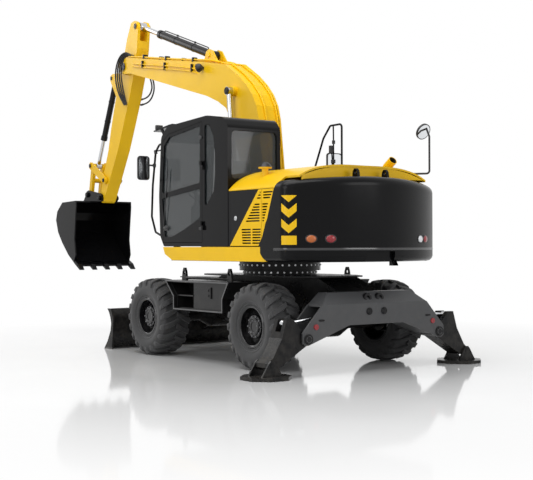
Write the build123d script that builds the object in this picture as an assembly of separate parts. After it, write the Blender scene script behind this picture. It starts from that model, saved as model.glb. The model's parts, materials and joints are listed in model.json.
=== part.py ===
from build123d import *
from math import atan2, cos, degrees, hypot, radians, sin
import os

# Wheeled excavator, in millimetres.
# X points forward, Y to the machine's left, Z up. X = 0 is the slew axis, Z = 0 is the ground.

# ---------------------------------------------------------------- driving dimensions
running_fit = 0.05              # radial clearance of a pin in its eye
door_gap = 6                    # seam round a door

tyre_radius = 545
tyre_width = 457
tread_radius = 515              # between the lugs
lugs_a_side = 20
wheel_y = 1016.5                # middle of a wheel from the centre plane
rear_axle_x = -1030
front_axle_x = 1560
axle_z = tyre_radius
rim_radius = 250
spindle_radius = 80
hub_radius = 150
kingpin_y = 820
kingpin_radius = 30
steering_x = front_axle_x + 175   # steering cylinder, ahead of the axle
steering_z = 520

frame_half_width = 330
deck_z = 1140
slew_radius = 505                # fixed race, bolted to the chassis
turning_race_radius = 560
slew_top_z = 1350
slew_gap_z = 1210               # joint between the fixed race and the turning one
inner_race_radius = 460

beam_rear_x = -2000
beam_front_x = -1700
beam_plate = 25
leg_x = -1850                   # middle plane of the stabiliser legs
leg_pivot = (1070, 445)         # (y, z), left leg
leg_eye = (1315, 635)
leg_cylinder_base = (120, 744)
foot_pivot = (1590, 165)

blade_pivot = (1880, 560)       # (x, z)
blade_cylinder_base = (1995, 900)
blade_eye = (2440, 490)
blade_half_width = 1245
blade_cylinder_y = 180

upper_half_width = 1200
skirt_top_z = 1537
body_z = 1545                   # underside of the cab and of the body panels
tail_radius = 2130
tail_half_width = 1235
tail_top_z = 2400
tail_front_x = -1800            # front face of the tail's rear block
body_top_z = 2246               # upper edge of the side panels
louvre_pitch = 34
louvre_height = 18

cab_inner_y = 360
cab_outer_y = 1200
cab_wall = 45
pane = 8
door_hinge = (98, 1222)         # (x, y)

boom_half_width = 190
boom_foot = (210, 1950)         # (x, z)
boom_nose = (4110, 4550)
boom_eye = (820, 3760)
boom_cylinder_base = (580, 1560)
boom_cylinder_y = 293
boom_pipe_y = (-168, -128, 60)
arm_cylinder_base = (1650, 4410)
arm_eye = (3830, 5190)
arm_half_width = 115
bucket_cylinder_base = (4720, 4440)
rocker_pivot = (4890, 2690)
rocker_eye = (5400, 2970)
bucket_pivot = (5050, 2390)
bucket_eye = (5500, 2460)
bucket_half_width = 545
pin_radius = 40


# ---------------------------------------------------------------- shapes used all over
def outline(points, radius=0):
    """A closed flat face from corner points, its corners rounded."""
    if radius:
        return make_face(FilletPolyline(*points, radius=radius, close=True))
    return make_face(Polyline(*points, close=True))


def side_profile(points, y_low, y_high, radius=0):
    """A face drawn in (x, z), as thick as y_low to y_high."""
    return Pos(0, y_high, 0) * extrude(Plane.XZ * outline(points, radius), y_high - y_low)


def cross_profile(points, x_low, x_high, radius=0):
    """A face drawn in (y, z), as long as x_low to x_high."""
    return Pos(x_low, 0, 0) * extrude(Plane.YZ * outline(points, radius), x_high - x_low)


def plan_profile(points, z_low, z_high, radius=0):
    """A face drawn in (x, y), as tall as z_low to z_high."""
    return Pos(0, 0, z_low) * extrude(outline(points, radius), z_high - z_low)


def block(x_low, x_high, y_low, y_high, z_low, z_high):
    size = (x_high - x_low, y_high - y_low, z_high - z_low)
    return Pos(x_low, y_low, z_low) * Box(*size, align=(Align.MIN, Align.MIN, Align.MIN))


def rod_x(y, z, radius, x_low, x_high):
    """A round bar along X."""
    return Pos((x_low + x_high) / 2, y, z) * Rot(0, 90, 0) * Cylinder(radius, x_high - x_low)


def rod_y(x, z, radius, y_low, y_high):
    """A round bar along Y."""
    return Pos(x, (y_low + y_high) / 2, z) * Rot(90, 0, 0) * Cylinder(radius, y_high - y_low)


def rod_z(x, y, radius, z_low, z_high):
    """A round bar along Z."""
    return Pos(x, y, (z_low + z_high) / 2) * Cylinder(radius, z_high - z_low)


def tube(points, radius, bend):
    """A round bar along straight runs joined by arcs of one bend radius."""
    path = FilletPolyline(*points, radius=bend)
    return sweep(Plane(path @ 0, z_dir=path % 0) * Circle(radius), path=path)


def both_sides(shape):
    """The shape and its mirror image across the centre plane."""
    return shape + mirror(shape, Plane.XZ)


def hydraulic_cylinder(start, end, closed, barrel_r, rod_r, eye_r, eye_width, bore):
    """Barrel and rod between two (x, z) pins in the plane Y = 0.

    closed is the pin distance with the rod home. The barrel's eye has a running fit on its
    pin; the rod's eye is plain, because it works between ears.
    """
    length = hypot(end[0] - start[0], end[1] - start[1])
    lean = degrees(atan2(end[1] - start[1], end[0] - start[0]))
    head = closed - eye_r - 45          # the gland's outer face
    bottom = eye_r + 40                 # the bore's blind end
    barrel = rod_x(0, 0, barrel_r, eye_r * 0.6, head - 60)
    barrel += rod_x(0, 0, barrel_r + 8, head - 70, head)
    barrel += rod_y(0, 0, eye_r, -eye_width / 2, eye_width / 2)
    barrel -= rod_y(0, 0, bore + running_fit, -eye_width, eye_width)
    barrel -= rod_x(0, 0, rod_r + running_fit, bottom, head + 10)
    travel = length - closed
    rod = rod_x(0, 0, rod_r, bottom + travel + 5, length - eye_r * 0.5)
    rod += rod_y(length, 0, eye_r, -eye_width / 2, eye_width / 2)
    place = Pos(start[0], 0, start[1]) * Rot(0, -lean, 0)
    return place * barrel, place * rod


# ---------------------------------------------------------------- wheels and axles
def wheel(side):
    """Tyre and rim with its hub, drawn about Z as the wheel's axis and turned upright."""
    half = tyre_width / 2
    bead = 178
    tyre_half = [(rim_radius, 0), (rim_radius, bead), (268, bead), (300, 206), (400, half),
                 (478, 210), (tread_radius, 150), (tread_radius, 0)]
    mirrored = [(r, -h) for r, h in reversed(tyre_half[1:-1])]
    tyre = revolve(Plane.XZ * outline(tyre_half + mirrored), Axis.Z)
    tyre = tyre + tyre_lugs(side)
    flange = 186
    rim_section = [(238, -flange), (268, -flange), (268, -bead), (rim_radius, -bead),
                   (rim_radius, bead), (268, bead), (268, flange), (238, flange)]
    rim = revolve(Plane.XZ * outline(rim_section), Axis.Z)
    dish = [(0, -70), (hub_radius, -70), (hub_radius, 70), (240, 88), (240, 106),
            (hub_radius, 90), (hub_radius - 10, 150), (105, 168), (96, 156), (0, 156)]
    rim += revolve(Plane.XZ * outline(dish), Axis.Z)
    rim -= Pos(0, 0, -30) * Cylinder(spindle_radius + running_fit, 82)
    place = Pos(0, side * wheel_y, axle_z) * Rot(-90 * side, 0, 0)
    return place * tyre, place * rim


def tyre_lugs(side):
    """Slanted bars from past the middle to each shoulder, staggered; the middle ends lead."""
    bar = [(12, -24), (-12, -24), (-222, 62), (-222, 100), (-190, 100), (12, 22)]
    half_band = [(436, 219), (508, 219), (530, 190), (tyre_radius, 150)]
    band = half_band + [(r, -along) for r, along in reversed(half_band)]
    band = revolve(Plane.XZ * outline(band), Axis.Z)
    lugs = []
    for index in range(lugs_a_side):
        for half, shift in ((-1, 0), (1, 0.5)):
            points = [(-side * across, -half * along) for along, across in bar]
            lug = Plane.YZ.offset(430) * extrude(make_face(Polyline(*points, close=True)), 130)
            lug = Rot(0, 0, (index + shift) * 360 / lugs_a_side) * lug
            lugs.append(lug & band)
    return lugs


def axle_housing(half_length):
    """Differential in the middle, round tubes to each side, about the Y axis."""
    section = [(0, -half_length), (90, -half_length), (90, -330), (185, -150), (185, 150),
               (90, 330), (90, half_length), (0, half_length)]
    return Rot(-90, 0, 0) * revolve(Plane.XZ * outline(section), Axis.Z)


def rear_axle():
    end = wheel_y - 76
    axle = Pos(rear_axle_x, 0, axle_z) * axle_housing(end - 60)
    for side in (-1, 1):
        low, high = sorted((side * (end - 60), side * end))
        axle += rod_y(rear_axle_x, axle_z, 140, low, high)
        low, high = sorted((side * end, side * (wheel_y - 1)))
        axle += rod_y(rear_axle_x, axle_z, spindle_radius, low, high)
        low, high = sorted((side * 210, side * 330))
        axle += block(rear_axle_x - 110, rear_axle_x + 110, low, high, axle_z, 760)
    return axle + rod_x(0, axle_z - 40, 60, rear_axle_x + 100, rear_axle_x + 230)


def front_axle():
    fork = kingpin_y - 75
    axle = Pos(front_axle_x, 0, axle_z) * axle_housing(fork - 45)
    axle += block(front_axle_x - 130, front_axle_x + 130, -90, 90, axle_z, 760)
    for side in (-1, 1):
        low, high = sorted((side * (fork - 60), side * (fork - 20)))
        axle += block(front_axle_x - 72, front_axle_x + 72, low, high, axle_z - 180, axle_z + 180)
        low, high = sorted((side * (fork - 20), side * (kingpin_y + 75)))
        for z_low in (axle_z - 180, axle_z + 150):
            axle += block(front_axle_x - 72, front_axle_x + 72, low, high, z_low, z_low + 30)
        for z_low, z_high in ((axle_z - 160, axle_z - 90), (axle_z + 90, axle_z + 160)):
            axle += rod_z(front_axle_x, side * kingpin_y, kingpin_radius, z_low, z_high)
    axle += rod_y(steering_x, steering_z, 45, -230, 230)
    for side in (-1, 1):
        low, high = sorted((side * 150, side * 200))
        axle += block(front_axle_x, steering_x, low, high, steering_z - 30, steering_z + 30)
    axle -= rod_y(steering_x, steering_z, 20 + running_fit, -240, 240)
    return axle + rod_x(0, axle_z - 40, 60, front_axle_x - 230, front_axle_x - 100)


def knuckle(side):
    """Steering knuckle with its spindle and its arm."""
    body = rod_z(front_axle_x, side * kingpin_y, 72, axle_z - 144, axle_z + 144)
    end = wheel_y - 76
    low, high = sorted((side * kingpin_y, side * end))
    body += rod_y(front_axle_x, axle_z, 110, low, high)
    low, high = sorted((side * end, side * (wheel_y - 1)))
    body += rod_y(front_axle_x, axle_z, spindle_radius, low, high)
    arm_y = side * (kingpin_y - 20)
    body += block(front_axle_x, steering_x, arm_y - 18, arm_y + 18, 460, 484)
    body += rod_z(steering_x, arm_y, 32, 460, 484)
    for z_low, z_high in ((axle_z - 150, axle_z - 89), (axle_z + 89, axle_z + 150)):
        body -= rod_z(front_axle_x, side * kingpin_y, kingpin_radius + running_fit, z_low, z_high)
    return body


def steering_rod():
    end = kingpin_y - 20
    rod = rod_y(steering_x, steering_z, 20, -end, end)
    for side in (-1, 1):
        rod += Pos(steering_x, side * end, steering_z) * Sphere(24)
    return rod


def drive_line():
    """Gearbox under the frame and the propeller shafts to both axles."""
    box = block(-350, 250, -200, 200, 350, 520)
    box += block(-150, 150, 200, 300, 380, 520)
    box += rod_x(0, 440, 70, 250, 330)
    box += rod_x(0, 440, 70, -430, -350)
    for start, end in (((330, 440), (1330, 490)), ((-788, 500), (-430, 440))):
        length = hypot(end[0] - start[0], end[1] - start[1])
        lean = degrees(atan2(end[1] - start[1], end[0] - start[0]))
        box += Pos(start[0], 0, start[1]) * Rot(0, -lean, 0) * rod_x(0, 0, 36, 1, length - 3)
    return box


# ---------------------------------------------------------------- chassis
def chassis_frame():
    core = [(beam_front_x, 620), (beam_front_x, 960), (-1250, deck_z), (930, deck_z),
            (1080, 1085), (1850, 1085), (1950, 1000), (1950, 520), (1850, 520), (1750, 760),
            (1330, 760), (1100, 520), (-560, 520), (-800, 760), (-1200, 760), (-1340, 620)]
    frame = side_profile(core, -frame_half_width, frame_half_width)
    deck = [(-1250, 420), (-900, 600), (1000, 600), (1100, 480), (1100, -480), (1000, -600),
            (-900, -600), (-1250, -420)]
    frame += plan_profile(deck, deck_z, deck_z + 20)
    frame += block(1000, 1850, -480, 480, 1085, 1100)
    for side in (-1, 1):
        low, high = sorted((side * frame_half_width, side * (frame_half_width + 52)))
        frame += rod_y(*blade_pivot, 35, low, high)
        for inner in (blade_cylinder_y - 68, blade_cylinder_y + 50):
            low, high = sorted((side * inner, side * (inner + 18)))
            ear = [(1940, 820), (1995, 850), (2040, 880), (2040, 925), (2010, 950), (1940, 990)]
            frame += side_profile(ear, low, high)
        low, high = sorted((side * (blade_cylinder_y - 68), side * (blade_cylinder_y + 68)))
        frame += rod_y(*blade_cylinder_base, 22, low, high)
    frame += rod_z(0, 0, slew_radius, deck_z + 10, slew_gap_z)
    return frame + rod_z(0, 0, inner_race_radius, slew_gap_z - 10, slew_top_z - 50)


def slew_outer_race():
    """The turning race, bolted under the deck, 6 mm clear of the fixed one."""
    ring = rod_z(0, 0, turning_race_radius, slew_gap_z + 6, slew_top_z)
    return ring - rod_z(0, 0, inner_race_radius + 6, slew_gap_z, slew_top_z - 44)


def side_box(side):
    """Step box between the wheels, bolted up from a locker with a latch, a back, an open step
    frame and a lashing rail on top."""
    profile = [(1077, 1080), (-499, 1080), (-359, 860), (-359, 680), (863, 680), (863, 860)]
    box = side_profile(profile, 640, 1200)
    box += block(-250, 750, frame_half_width, 640, 720, 1060)
    recess = [(1043, 1062), (-466, 1062), (-341, 865), (-341, 698), (845, 698), (845, 865)]
    box -= side_profile(recess, 1140, 1210)
    step = [(1010, 1050), (420, 1050), (420, 710), (832, 710), (832, 868)]
    box -= side_profile(step, 900, 1210)
    latch = block(-20, 50, 1130, 1156, 850, 1000)
    for z in (890, 960):
        latch -= rod_y(15, z, 20, 1148, 1170)
    box += latch
    locker = box & block(-600, 420, 500, 1250, 600, 1100)
    back = box & block(420, 1200, 500, 900, 600, 1100)
    # the step frame's floor, lower and upper front post and roof, then its shelf
    frame = [box & block(420, 1200, 900, 1250, low, high)
             for low, high in ((600, 710), (710, 868), (868, 1050), (1050, 1100))]
    shelf = block(420, 832, 900, 1150, 868, 884)
    rail = rod_x(1000, 1112, 18, -230, 850)
    for x in (870, -250):
        lug = [(x - 60, 1080), (x + 60, 1080), (x + 45, 1190), (x + 20, 1250),
               (x - 20, 1250), (x - 45, 1190)]
        rail += side_profile(lug, 985, 1015)
        rail -= rod_y(x, 1185, 28, 980, 1020)
    parts = Compound([piece.solid() for piece in (locker, back, *frame, shelf, rail)])
    return parts if side > 0 else mirror(parts, Plane.XZ)


def stabiliser_beam():
    half = [(0, 842), (850, 842), (1150, 520), (1150, 400), (1110, 368), (1060, 372),
            (435, 585), (0, 585)]
    beam = cross_profile(half, beam_rear_x, beam_front_x)
    inside = [(-1, 610), (430, 610), (930, 468), (930, 300), (1300, 300), (1300, 1000),
              (850, 1000), (850, 817), (-1, 817)]
    beam -= cross_profile(inside, beam_rear_x + beam_plate, beam_front_x - beam_plate)
    beam = both_sides(beam)
    foot = Plane.XY.offset(842) * Pos((beam_rear_x + beam_front_x) / 2, 0) * Rectangle(290, 1690)
    ridge = Plane.XY.offset(980) * Pos(-1785, 0) * Rectangle(170, 1360)
    beam += loft([foot.face(), ridge.face()])
    for side in (-1, 1):
        beam += rod_x(side * leg_pivot[0], leg_pivot[1], pin_radius, beam_rear_x - 20, beam_front_x)
        beam += rod_x(side * leg_cylinder_base[0], leg_cylinder_base[1], 25,
                      beam_rear_x - 10, beam_front_x)
    return beam


def leg(side):
    """Stabiliser leg: a box with ears for the cylinder and a pin for the foot."""
    profile = [(1268, 690), (1362, 690), (1430, 470), (1560, 250), (1640, 190), (1640, 140),
               (1600, 108), (1500, 118), (1060, 372), (998, 400), (998, 470), (1060, 516),
               (1120, 530)]
    body = cross_profile(profile, leg_x - 115, leg_x + 115)
    body -= rod_x(*leg_pivot, pin_radius + running_fit, -2100, -1600)
    slot = [(1080, 505), (1180, 500), (1480, 560), (1480, 800), (1080, 800)]
    body -= cross_profile(slot, leg_x - 52, leg_x + 52)
    body += rod_x(*foot_pivot, 30, leg_x - 150, leg_x + 150)
    return body if side > 0 else mirror(body, Plane.XZ)


def foot(side):
    """Octagonal pad with two cheeks on the leg's pin."""
    corners = [(308 * cos(radians(45 * i + 22.5)), 308 * sin(radians(45 * i + 22.5)))
               for i in range(8)]
    pad = Pos(leg_x, foot_pivot[0] - 10, 0) * extrude(make_face(Polyline(*corners, close=True)), 40)
    cheek = [(1440, 35), (1740, 35), (1640, 190), (1610, 222), (1570, 222), (1540, 190)]
    for low, high in ((leg_x - 145, leg_x - 120), (leg_x + 120, leg_x + 145)):
        pad += cross_profile(cheek, low, high)
    pad -= rod_x(*foot_pivot, 30 + running_fit, leg_x - 200, leg_x + 200)
    return pad if side > 0 else mirror(pad, Plane.XZ)


def leg_cylinder(side):
    """The legs' cylinders lie across the machine, so they turn into the Y-Z plane."""
    barrel, rod = hydraulic_cylinder(leg_cylinder_base, leg_eye, 775, 45, 26, 45, 80, 25)
    turn = Pos(leg_x, 0, 0) * Rot(0, 0, 90)
    pair = [turn * barrel, turn * rod]
    return pair if side > 0 else [mirror(p, Plane.XZ) for p in pair]


# ---------------------------------------------------------------- blade
def blade():
    front = ThreePointArc((2704, 610), (2585, 370), (2810, 0))
    back = ThreePointArc((2760, 0), (2548, 350), (2640, 610))
    section = front + Line(front @ 1, back @ 0) + back + Line(back @ 1, front @ 0)
    face = Plane.XZ * make_face(section)
    board = Pos(0, blade_half_width, 0) * extrude(face, 2 * blade_half_width)
    end = [(2590, 610), (2704, 610), (2620, 520), (2584, 400), (2606, 280), (2700, 120), (2810, 0),
           (2570, 0), (2530, 250), (2520, 450)]
    board += both_sides(side_profile(end, blade_half_width - 25, blade_half_width))
    board += block(2500, 2570, -900, 900, 230, 420)
    for side in (-1, 1):
        low, high = sorted((side * 336, side * 376))
        arm = [(1850, 500), (1930, 490), (2520, 240), (2520, 410), (1930, 630), (1850, 620),
               (1815, 560)]
        board += side_profile(arm, low, high)
        for inner in (blade_cylinder_y - 55, blade_cylinder_y + 35):
            low, high = sorted((side * inner, side * (inner + 20)))
            ear = [(2575, 300), (2575, 545), (2440, 540), (2390, 515), (2390, 455), (2450, 380)]
            board += side_profile(ear, low, high)
    return board - rod_y(*blade_pivot, 35 + running_fit, -500, 500)


def blade_cylinders():
    barrel, rod = hydraulic_cylinder(blade_cylinder_base, blade_eye, 425, 42, 25, 38, 60, 22)
    barrels = both_sides(Pos(0, blade_cylinder_y, 0) * barrel)
    rods = both_sides(Pos(0, blade_cylinder_y, 0) * rod)
    return barrels, rods


# ---------------------------------------------------------------- upper structure
def upper_frame():
    """Deck on the slew ring, the boom's foot brackets, beams and cab mounts."""
    deck = [(tail_front_x, 1040), (-1235, 1040), (-1235, 1140), (1000, 1140), (1080, 1050),
            (1080, -1050), (1000, -1140), (-1235, -1140), (-1235, -1040), (tail_front_x, -1040)]
    frame = plan_profile(deck, slew_top_z, 1400)
    bracket = [(-900, 1400), (-700, 1560), (-100, 1700), (60, 2030), (130, 2100), (290, 2100),
               (370, 2010), (660, 1600), (660, 1520), (780, 1400)]
    for side in (-1, 1):
        low, high = sorted((side * 200, side * 235))
        frame += side_profile(bracket, low, high)
        low, high = sorted((side * 235, side * 340))
        frame += rod_y(*boom_cylinder_base, 30, low, high)
        low, high = sorted((side * 600, side * 650))
        frame += block(-1200, 1000, low, high, 1400, body_z)
    frame += rod_y(*boom_foot, pin_radius, -250, 250)
    for x in (-420, 950):
        for y in (450, 1080):
            frame += rod_z(x, y, 50, 1400, body_z)
    frame += rod_z(-480, 0, 130, 1400, 1700) + rod_z(-480, 0, 95, 1700, 1900)
    return frame + slew_outer_race()


def skirts():
    """Painted bands along the deck's edges, swept up at the front."""
    profile = [(-1340, slew_top_z + 5), (-1250, 1450), (-1240, skirt_top_z), (1130, skirt_top_z),
               (1080, 1440), (880, slew_top_z + 5)]
    return both_sides(side_profile(profile, 1140, upper_half_width))


def tail_casting():
    """Cast tail: an arc about the slew axis, open to the engine bay in front."""
    side = [(-1355, slew_top_z), (-1255, 1460), (-1255, 1549), (-1572, 2310), (-1572, tail_top_z),
            (-2200, tail_top_z), (-2200, slew_top_z)]
    body = side_profile(side, -tail_half_width, tail_half_width)
    body &= rod_z(0, 0, tail_radius, 1300, 2500)
    upright = [edge for edge in body.edges().filter_by(Axis.Z) if edge.center().X < -1650]
    body = fillet(upright, 140)
    crown_r = 10300
    body &= rod_x(0, tail_top_z - crown_r, crown_r, -2300, -1000)
    rim = [edge for edge in body.edges() if edge.center().X < -1590 and edge.center().Z > 2200]
    body = fillet(rim, 110)
    foot = [edge for edge in body.edges() if edge.center().X < -1500 and edge.center().Z < 1352]
    body = fillet(foot, 80)
    body -= block(tail_front_x, -1000, -1050, 1050, 1300, 2500)
    body -= block(-2200, -2070, -200, 260, 1340, 1480)
    groove = rod_z(0, 0, 2200, 1508, 1522) - rod_z(0, 0, tail_radius - 14, 1500, 1530)
    body -= groove & block(-2300, -1740, -1300, 1300, 1500, 1530)
    for y in (-240, 240):
        eye = [(-1960, 2340), (-1840, 2340), (-1860, 2470), (-1885, 2500), (-1915, 2500),
               (-1940, 2470)]
        body += side_profile(eye, y - 20, y + 20) - rod_y(-1900, 2455, 25, y - 30, y + 30)
    return body


def tail():
    """The rear block, bolted to the deck's end, and the two cheeks bolted to the block."""
    casting = tail_casting()
    rear = block(-2300, tail_front_x, -1300, 1300, 1300, 2600)
    return casting & rear, Compound([*(casting - rear).solids()])


def hood_prism(edge_y, drop, x_low, x_high):
    """What lies under the hood's rounded outline, its surface lowered by drop."""
    half = [(0, 2550), (760, 2505), (1000, 2420), (edge_y, 2266)]
    points = [(-y, z - drop) for y, z in reversed(half)] + [(y, z - drop) for y, z in half[1:]]
    top = Spline(*points)
    base = Polyline(top @ 1, (edge_y, 2252 - drop), (-edge_y, 2252 - drop), top @ 0)
    return Pos(x_low, 0, 0) * extrude(Plane.YZ * make_face(top + base), x_high - x_low)


def hood():
    """Engine cover: a thin shell from side to side, narrower where it meets the tail."""
    shell = hood_prism(1197, 0, -1530, -520) - hood_prism(1170, 24, -1530, -545)
    rear = hood_prism(1197, 0, -1795, -1530) - hood_prism(1170, 24, -1795, -1530)
    shell += rear & block(-1800, -1530, -1035, 1035, 2000, 2600)
    return shell


def on_hood(piece):
    """What stands on the hood, cut off at its surface."""
    return piece - hood_prism(1197, 0, -1795, -520)


def body_side():
    """Fixed body panel, left: behind the door, with the door's front post and its sill."""
    inner = [(-1225, 1400), (-1245, 1400), (-1250, 1549), (-1537, body_top_z),
             (-1240, body_top_z)]
    outer = [(-1240, 1542), (-1249, 1549), (-1537, body_top_z), (-1240, body_top_z)]
    panel = side_profile(inner, 1060, 1140) + side_profile(outer, 1130, 1199)
    panel -= louvres(-1600, -1252)
    panel += block(-545, -515, 1060, 1140, 1400, body_top_z)
    return panel + block(-545, -515, 1130, 1199, body_z, body_top_z)


def body_panels():
    left = body_side()
    return Compound([*left.solids(), *mirror(left, Plane.XZ).solids()])


def louvres(x_low, x_high):
    """Slots of the swept louvre band that lie between two X planes, left side."""
    # lowest slot's height, rows, then for each column its ends on the lowest and the top row
    groups = [(1575, 6, ((-822, -1009), (-805, -1009)), ((-1040, -1205), (-1040, -1240))),
              (1850, 7, ((-905, -1198), (-1087, -1198)), ((-1218, -1289), (-1218, -1373))),
              (2130, 3, ((-1140, -1250), (-1200, -1250)), ((-1272, -1415), (-1272, -1470)))]
    slots = []
    for low_z, rows, *columns in groups:
        for row in range(rows):
            share = row / (rows - 1)
            z = low_z + louvre_pitch * row
            for lowest, highest in columns:
                front, rear = (a + (b - a) * share for a, b in zip(lowest, highest))
                if min(front, x_high) - max(rear, x_low) > 20:
                    slots.append(block(max(rear, x_low), min(front, x_high), 1165, 1210,
                                       z, z + louvre_height))
    return slots


def service_door(side):
    """Louvred engine door, hinged at its rear edge."""
    profile = [(-551, 1551), (-1234, 1551), (-1234, body_top_z), (-551, body_top_z)]
    door = side_profile(profile, 1160, upper_half_width) - louvres(-1222, -560)
    return door if side > 0 else mirror(door, Plane.XZ)


def tank():
    """Fuel tank and the lower step box ahead of it, on the right."""
    body = block(-509, 500, -1198, -420, body_z, 2262)
    body = fillet(body.edges().filter_by(Axis.X).group_by(Axis.Z)[-1], 45)
    box = block(506, 1075, -1198, -420, body_z, 1960)
    box = fillet(box.edges().filter_by(Axis.Y).group_by(Axis.Z)[-1], 60)
    box -= block(700, 1100, -1210, -1000, 1640, 1760)
    return Compound([*body.solids(), *box.solids()])


def engine_block():
    return block(-1700, -905, -450, 520, 1400, 2150)


def exhaust():
    """Short stack bent to the rear, its mouth open."""
    bend = [(-1235, -850, 2350), (-1235, -850, 2580), (-1375, -850, 2680)]
    pipe = tube(bend, 60, 90)
    lean = degrees(atan2(100, 140))
    pipe -= Pos(-1375, -850, 2680) * Rot(0, lean - 90, 0) * Cylinder(52, 180)
    return on_hood(pipe)


def precleaner():
    cap = [(0, 2525), (84, 2525), (88, 2542), (62, 2580), (25, 2608), (0, 2608)]
    cap = Pos(-970, 950, 0) * revolve(Plane.XZ * outline(cap), Axis.Z)
    return on_hood(rod_z(-970, 950, 42, 2350, 2530) + cap)


# ---------------------------------------------------------------- cab
cab_outline = [(-500, body_z), (1105, body_z), (1205, 1690), (1237, 2250), (1178, 3080),
               (1010, 3215), (0, 3272), (-400, 3215), (-500, 3090)]
cab_corner_radii = [10, 50, 150, 900, 150, 200, 500, 150, 110]
door_outline = [(115, 1600), (1112, 1600), (1184, 2100), (1127, 3010), (975, 3100),
                (115, 3200)]


def cab_solid(inset, y_low, y_high):
    """The cab's side outline, drawn in by inset, between two Y planes."""
    face = make_face(FilletPolyline(*cab_outline, radius=cab_corner_radii, close=True))
    if inset:
        face = offset(face, -inset, kind=Kind.INTERSECTION)
    return Pos(0, y_high, 0) * extrude(Plane.XZ * face, y_high - y_low)


def cab_windows():
    """Prisms of the fixed window openings: rear, quarter, right side and front."""
    rear = cross_profile([(420, 2420), (1140, 2420), (1140, 3040), (420, 3040)], -560, -440, 60)
    quarter = [(50, 2040), (50, 3150), (-60, 3150), (-160, 2990), (-203, 2750), (-205, 2500),
               (-165, 2260)]
    quarter = side_profile(quarter, 1140, 1210, 35)
    right = [(-380, 2150), (1150, 2150), (1100, 2990), (-300, 3080), (-380, 2990)]
    right = side_profile(right, 350, 420, 50)
    front = cross_profile([(415, 1700), (1145, 1700), (1145, 3010), (415, 3010)], 1060, 1300, 50)
    return [rear, quarter, right, front]


def cab_shell():
    shell = cab_solid(0, cab_inner_y, cab_outer_y)
    shell -= cab_solid(cab_wall, cab_inner_y + cab_wall, cab_outer_y - cab_wall)
    opening = offset(make_face(Polyline(*door_outline, close=True)), door_gap)
    shell -= Pos(0, 1210, 0) * extrude(Plane.XZ * opening, 100)
    for window in cab_windows():
        shell -= window
    visor = [(940, 3205), (1010, 3205), (1060, 3214), (1300, 3196), (1468, 3180), (1471, 3196),
             (1300, 3216), (1060, 3246), (958, 3252)]
    shell += side_profile(visor, 420, 1150)
    for y in (430, 1122):
        shell += side_profile([(1150, 3060), (1200, 3085), (1300, 3198), (1240, 3204)], y, y + 18)
    x, y = door_hinge
    for z in (1760, 2560):
        shell += block(x - 40, x - 14, cab_outer_y - 10, y + 8, z, z + 60)
        shell += block(x - 15, x, y - 8, y + 8, z, z + 60) + rod_z(x, y, 8, z, z + 118)
    return shell


def cab_glass():
    """The fixed panes, each filling its opening part way through the wall."""
    layer = cab_solid(18, cab_inner_y + 18, cab_outer_y - 18)
    layer -= cab_solid(18 + pane, cab_inner_y + 18 + pane, cab_outer_y - 18 - pane)
    return Compound([piece for window in cab_windows() for piece in (layer & window).solids()])


door_upper_window = [(170, 2392), (1152, 2285), (1096, 2950), (960, 3060), (170, 3155)]
door_lower_window = [(170, 1925), (580, 1768), (900, 1675), (1075, 1678), (1140, 2110),
                     (1150, 2215), (170, 2315)]


def cab_door():
    door = side_profile(door_outline, cab_outer_y - cab_wall, cab_outer_y)
    door -= side_profile(door_upper_window, 1100, 1300, 35)
    door -= side_profile(door_lower_window, 1100, 1300, 25)
    x, y = door_hinge
    for z in (1820, 2620):
        knuckle_eye = rod_z(x, y, 16, z + 2, z + 56)
        knuckle_eye += block(x + 8, x + 50, y - 14, y + 8, z + 2, z + 56)
        knuckle_eye += block(x + 20, x + 50, cab_outer_y, y + 8, z + 2, z + 56)
        door += knuckle_eye - rod_z(x, y, 8 + running_fit, z - 10, z + 70)
    return door


def door_glass():
    panes = [side_profile(points, 1172, 1180, radius)
             for points, radius in ((door_upper_window, 35), (door_lower_window, 25))]
    return Compound([solid for p in panes for solid in p.solids()])


def seat():
    frame = block(0, 420, 620, 940, 1590, 1860)
    cushion = block(-60, 460, 540, 1020, 1860, 1990)
    rest = [(-60, 1950), (60, 1950), (-60, 2700), (-160, 2700)]
    seat_back = side_profile(rest, 560, 1000)
    return frame + cushion + seat_back


def console():
    pods = block(0, 520, 440, 530, 1590, 2080) + block(0, 520, 1030, 1120, 1590, 2080)
    pods += rod_z(460, 485, 22, 2080, 2280) + rod_z(460, 1075, 22, 2080, 2280)
    return Compound(pods.solids())


# ---------------------------------------------------------------- boom, arm and bucket
def boom():
    """Cranked box boom with a forked nose, cylinder bosses and ears."""
    back = [(4170, 4690), (3800, 4655), (2920, 4505), (1740, 4312), (1070, 4185),
            (740, 3985), (540, 3830), (390, 3675), (290, 3510), (235, 3325), (60, 2000)]
    front = [(350, 1900), (930, 3350), (1046, 3547), (1256, 3663), (1552, 3777), (2318, 3985),
             (3239, 4237), (3900, 4410), (4220, 4440)]
    profile = back + [(70, 1880), (160, 1810), (280, 1820)] + front + [(4290, 4560), (4260, 4650)]
    body = side_profile(profile, -boom_half_width, boom_half_width)
    body -= rod_y(*boom_foot, pin_radius + running_fit, -300, 300)
    body -= block(3540, 4500, -125, 125, 4000, 5000)
    body += rod_y(*boom_nose, pin_radius, -boom_half_width - 15, boom_half_width + 15)
    for side in (-1, 1):
        low, high = sorted((side * boom_half_width, side * 255))
        body += rod_y(*boom_eye, 70, low, high)
        low, high = sorted((side * 70, side * 95))
        ear = [(1380, 4240), (1560, 4470), (1650, 4500), (1720, 4470), (1800, 4300)]
        body += side_profile(ear, low, high)
    body += rod_y(*arm_cylinder_base, 35, -110, 110)
    for pipe_y in boom_pipe_y:
        body += boom_pipe(pipe_y)
    return body


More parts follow.
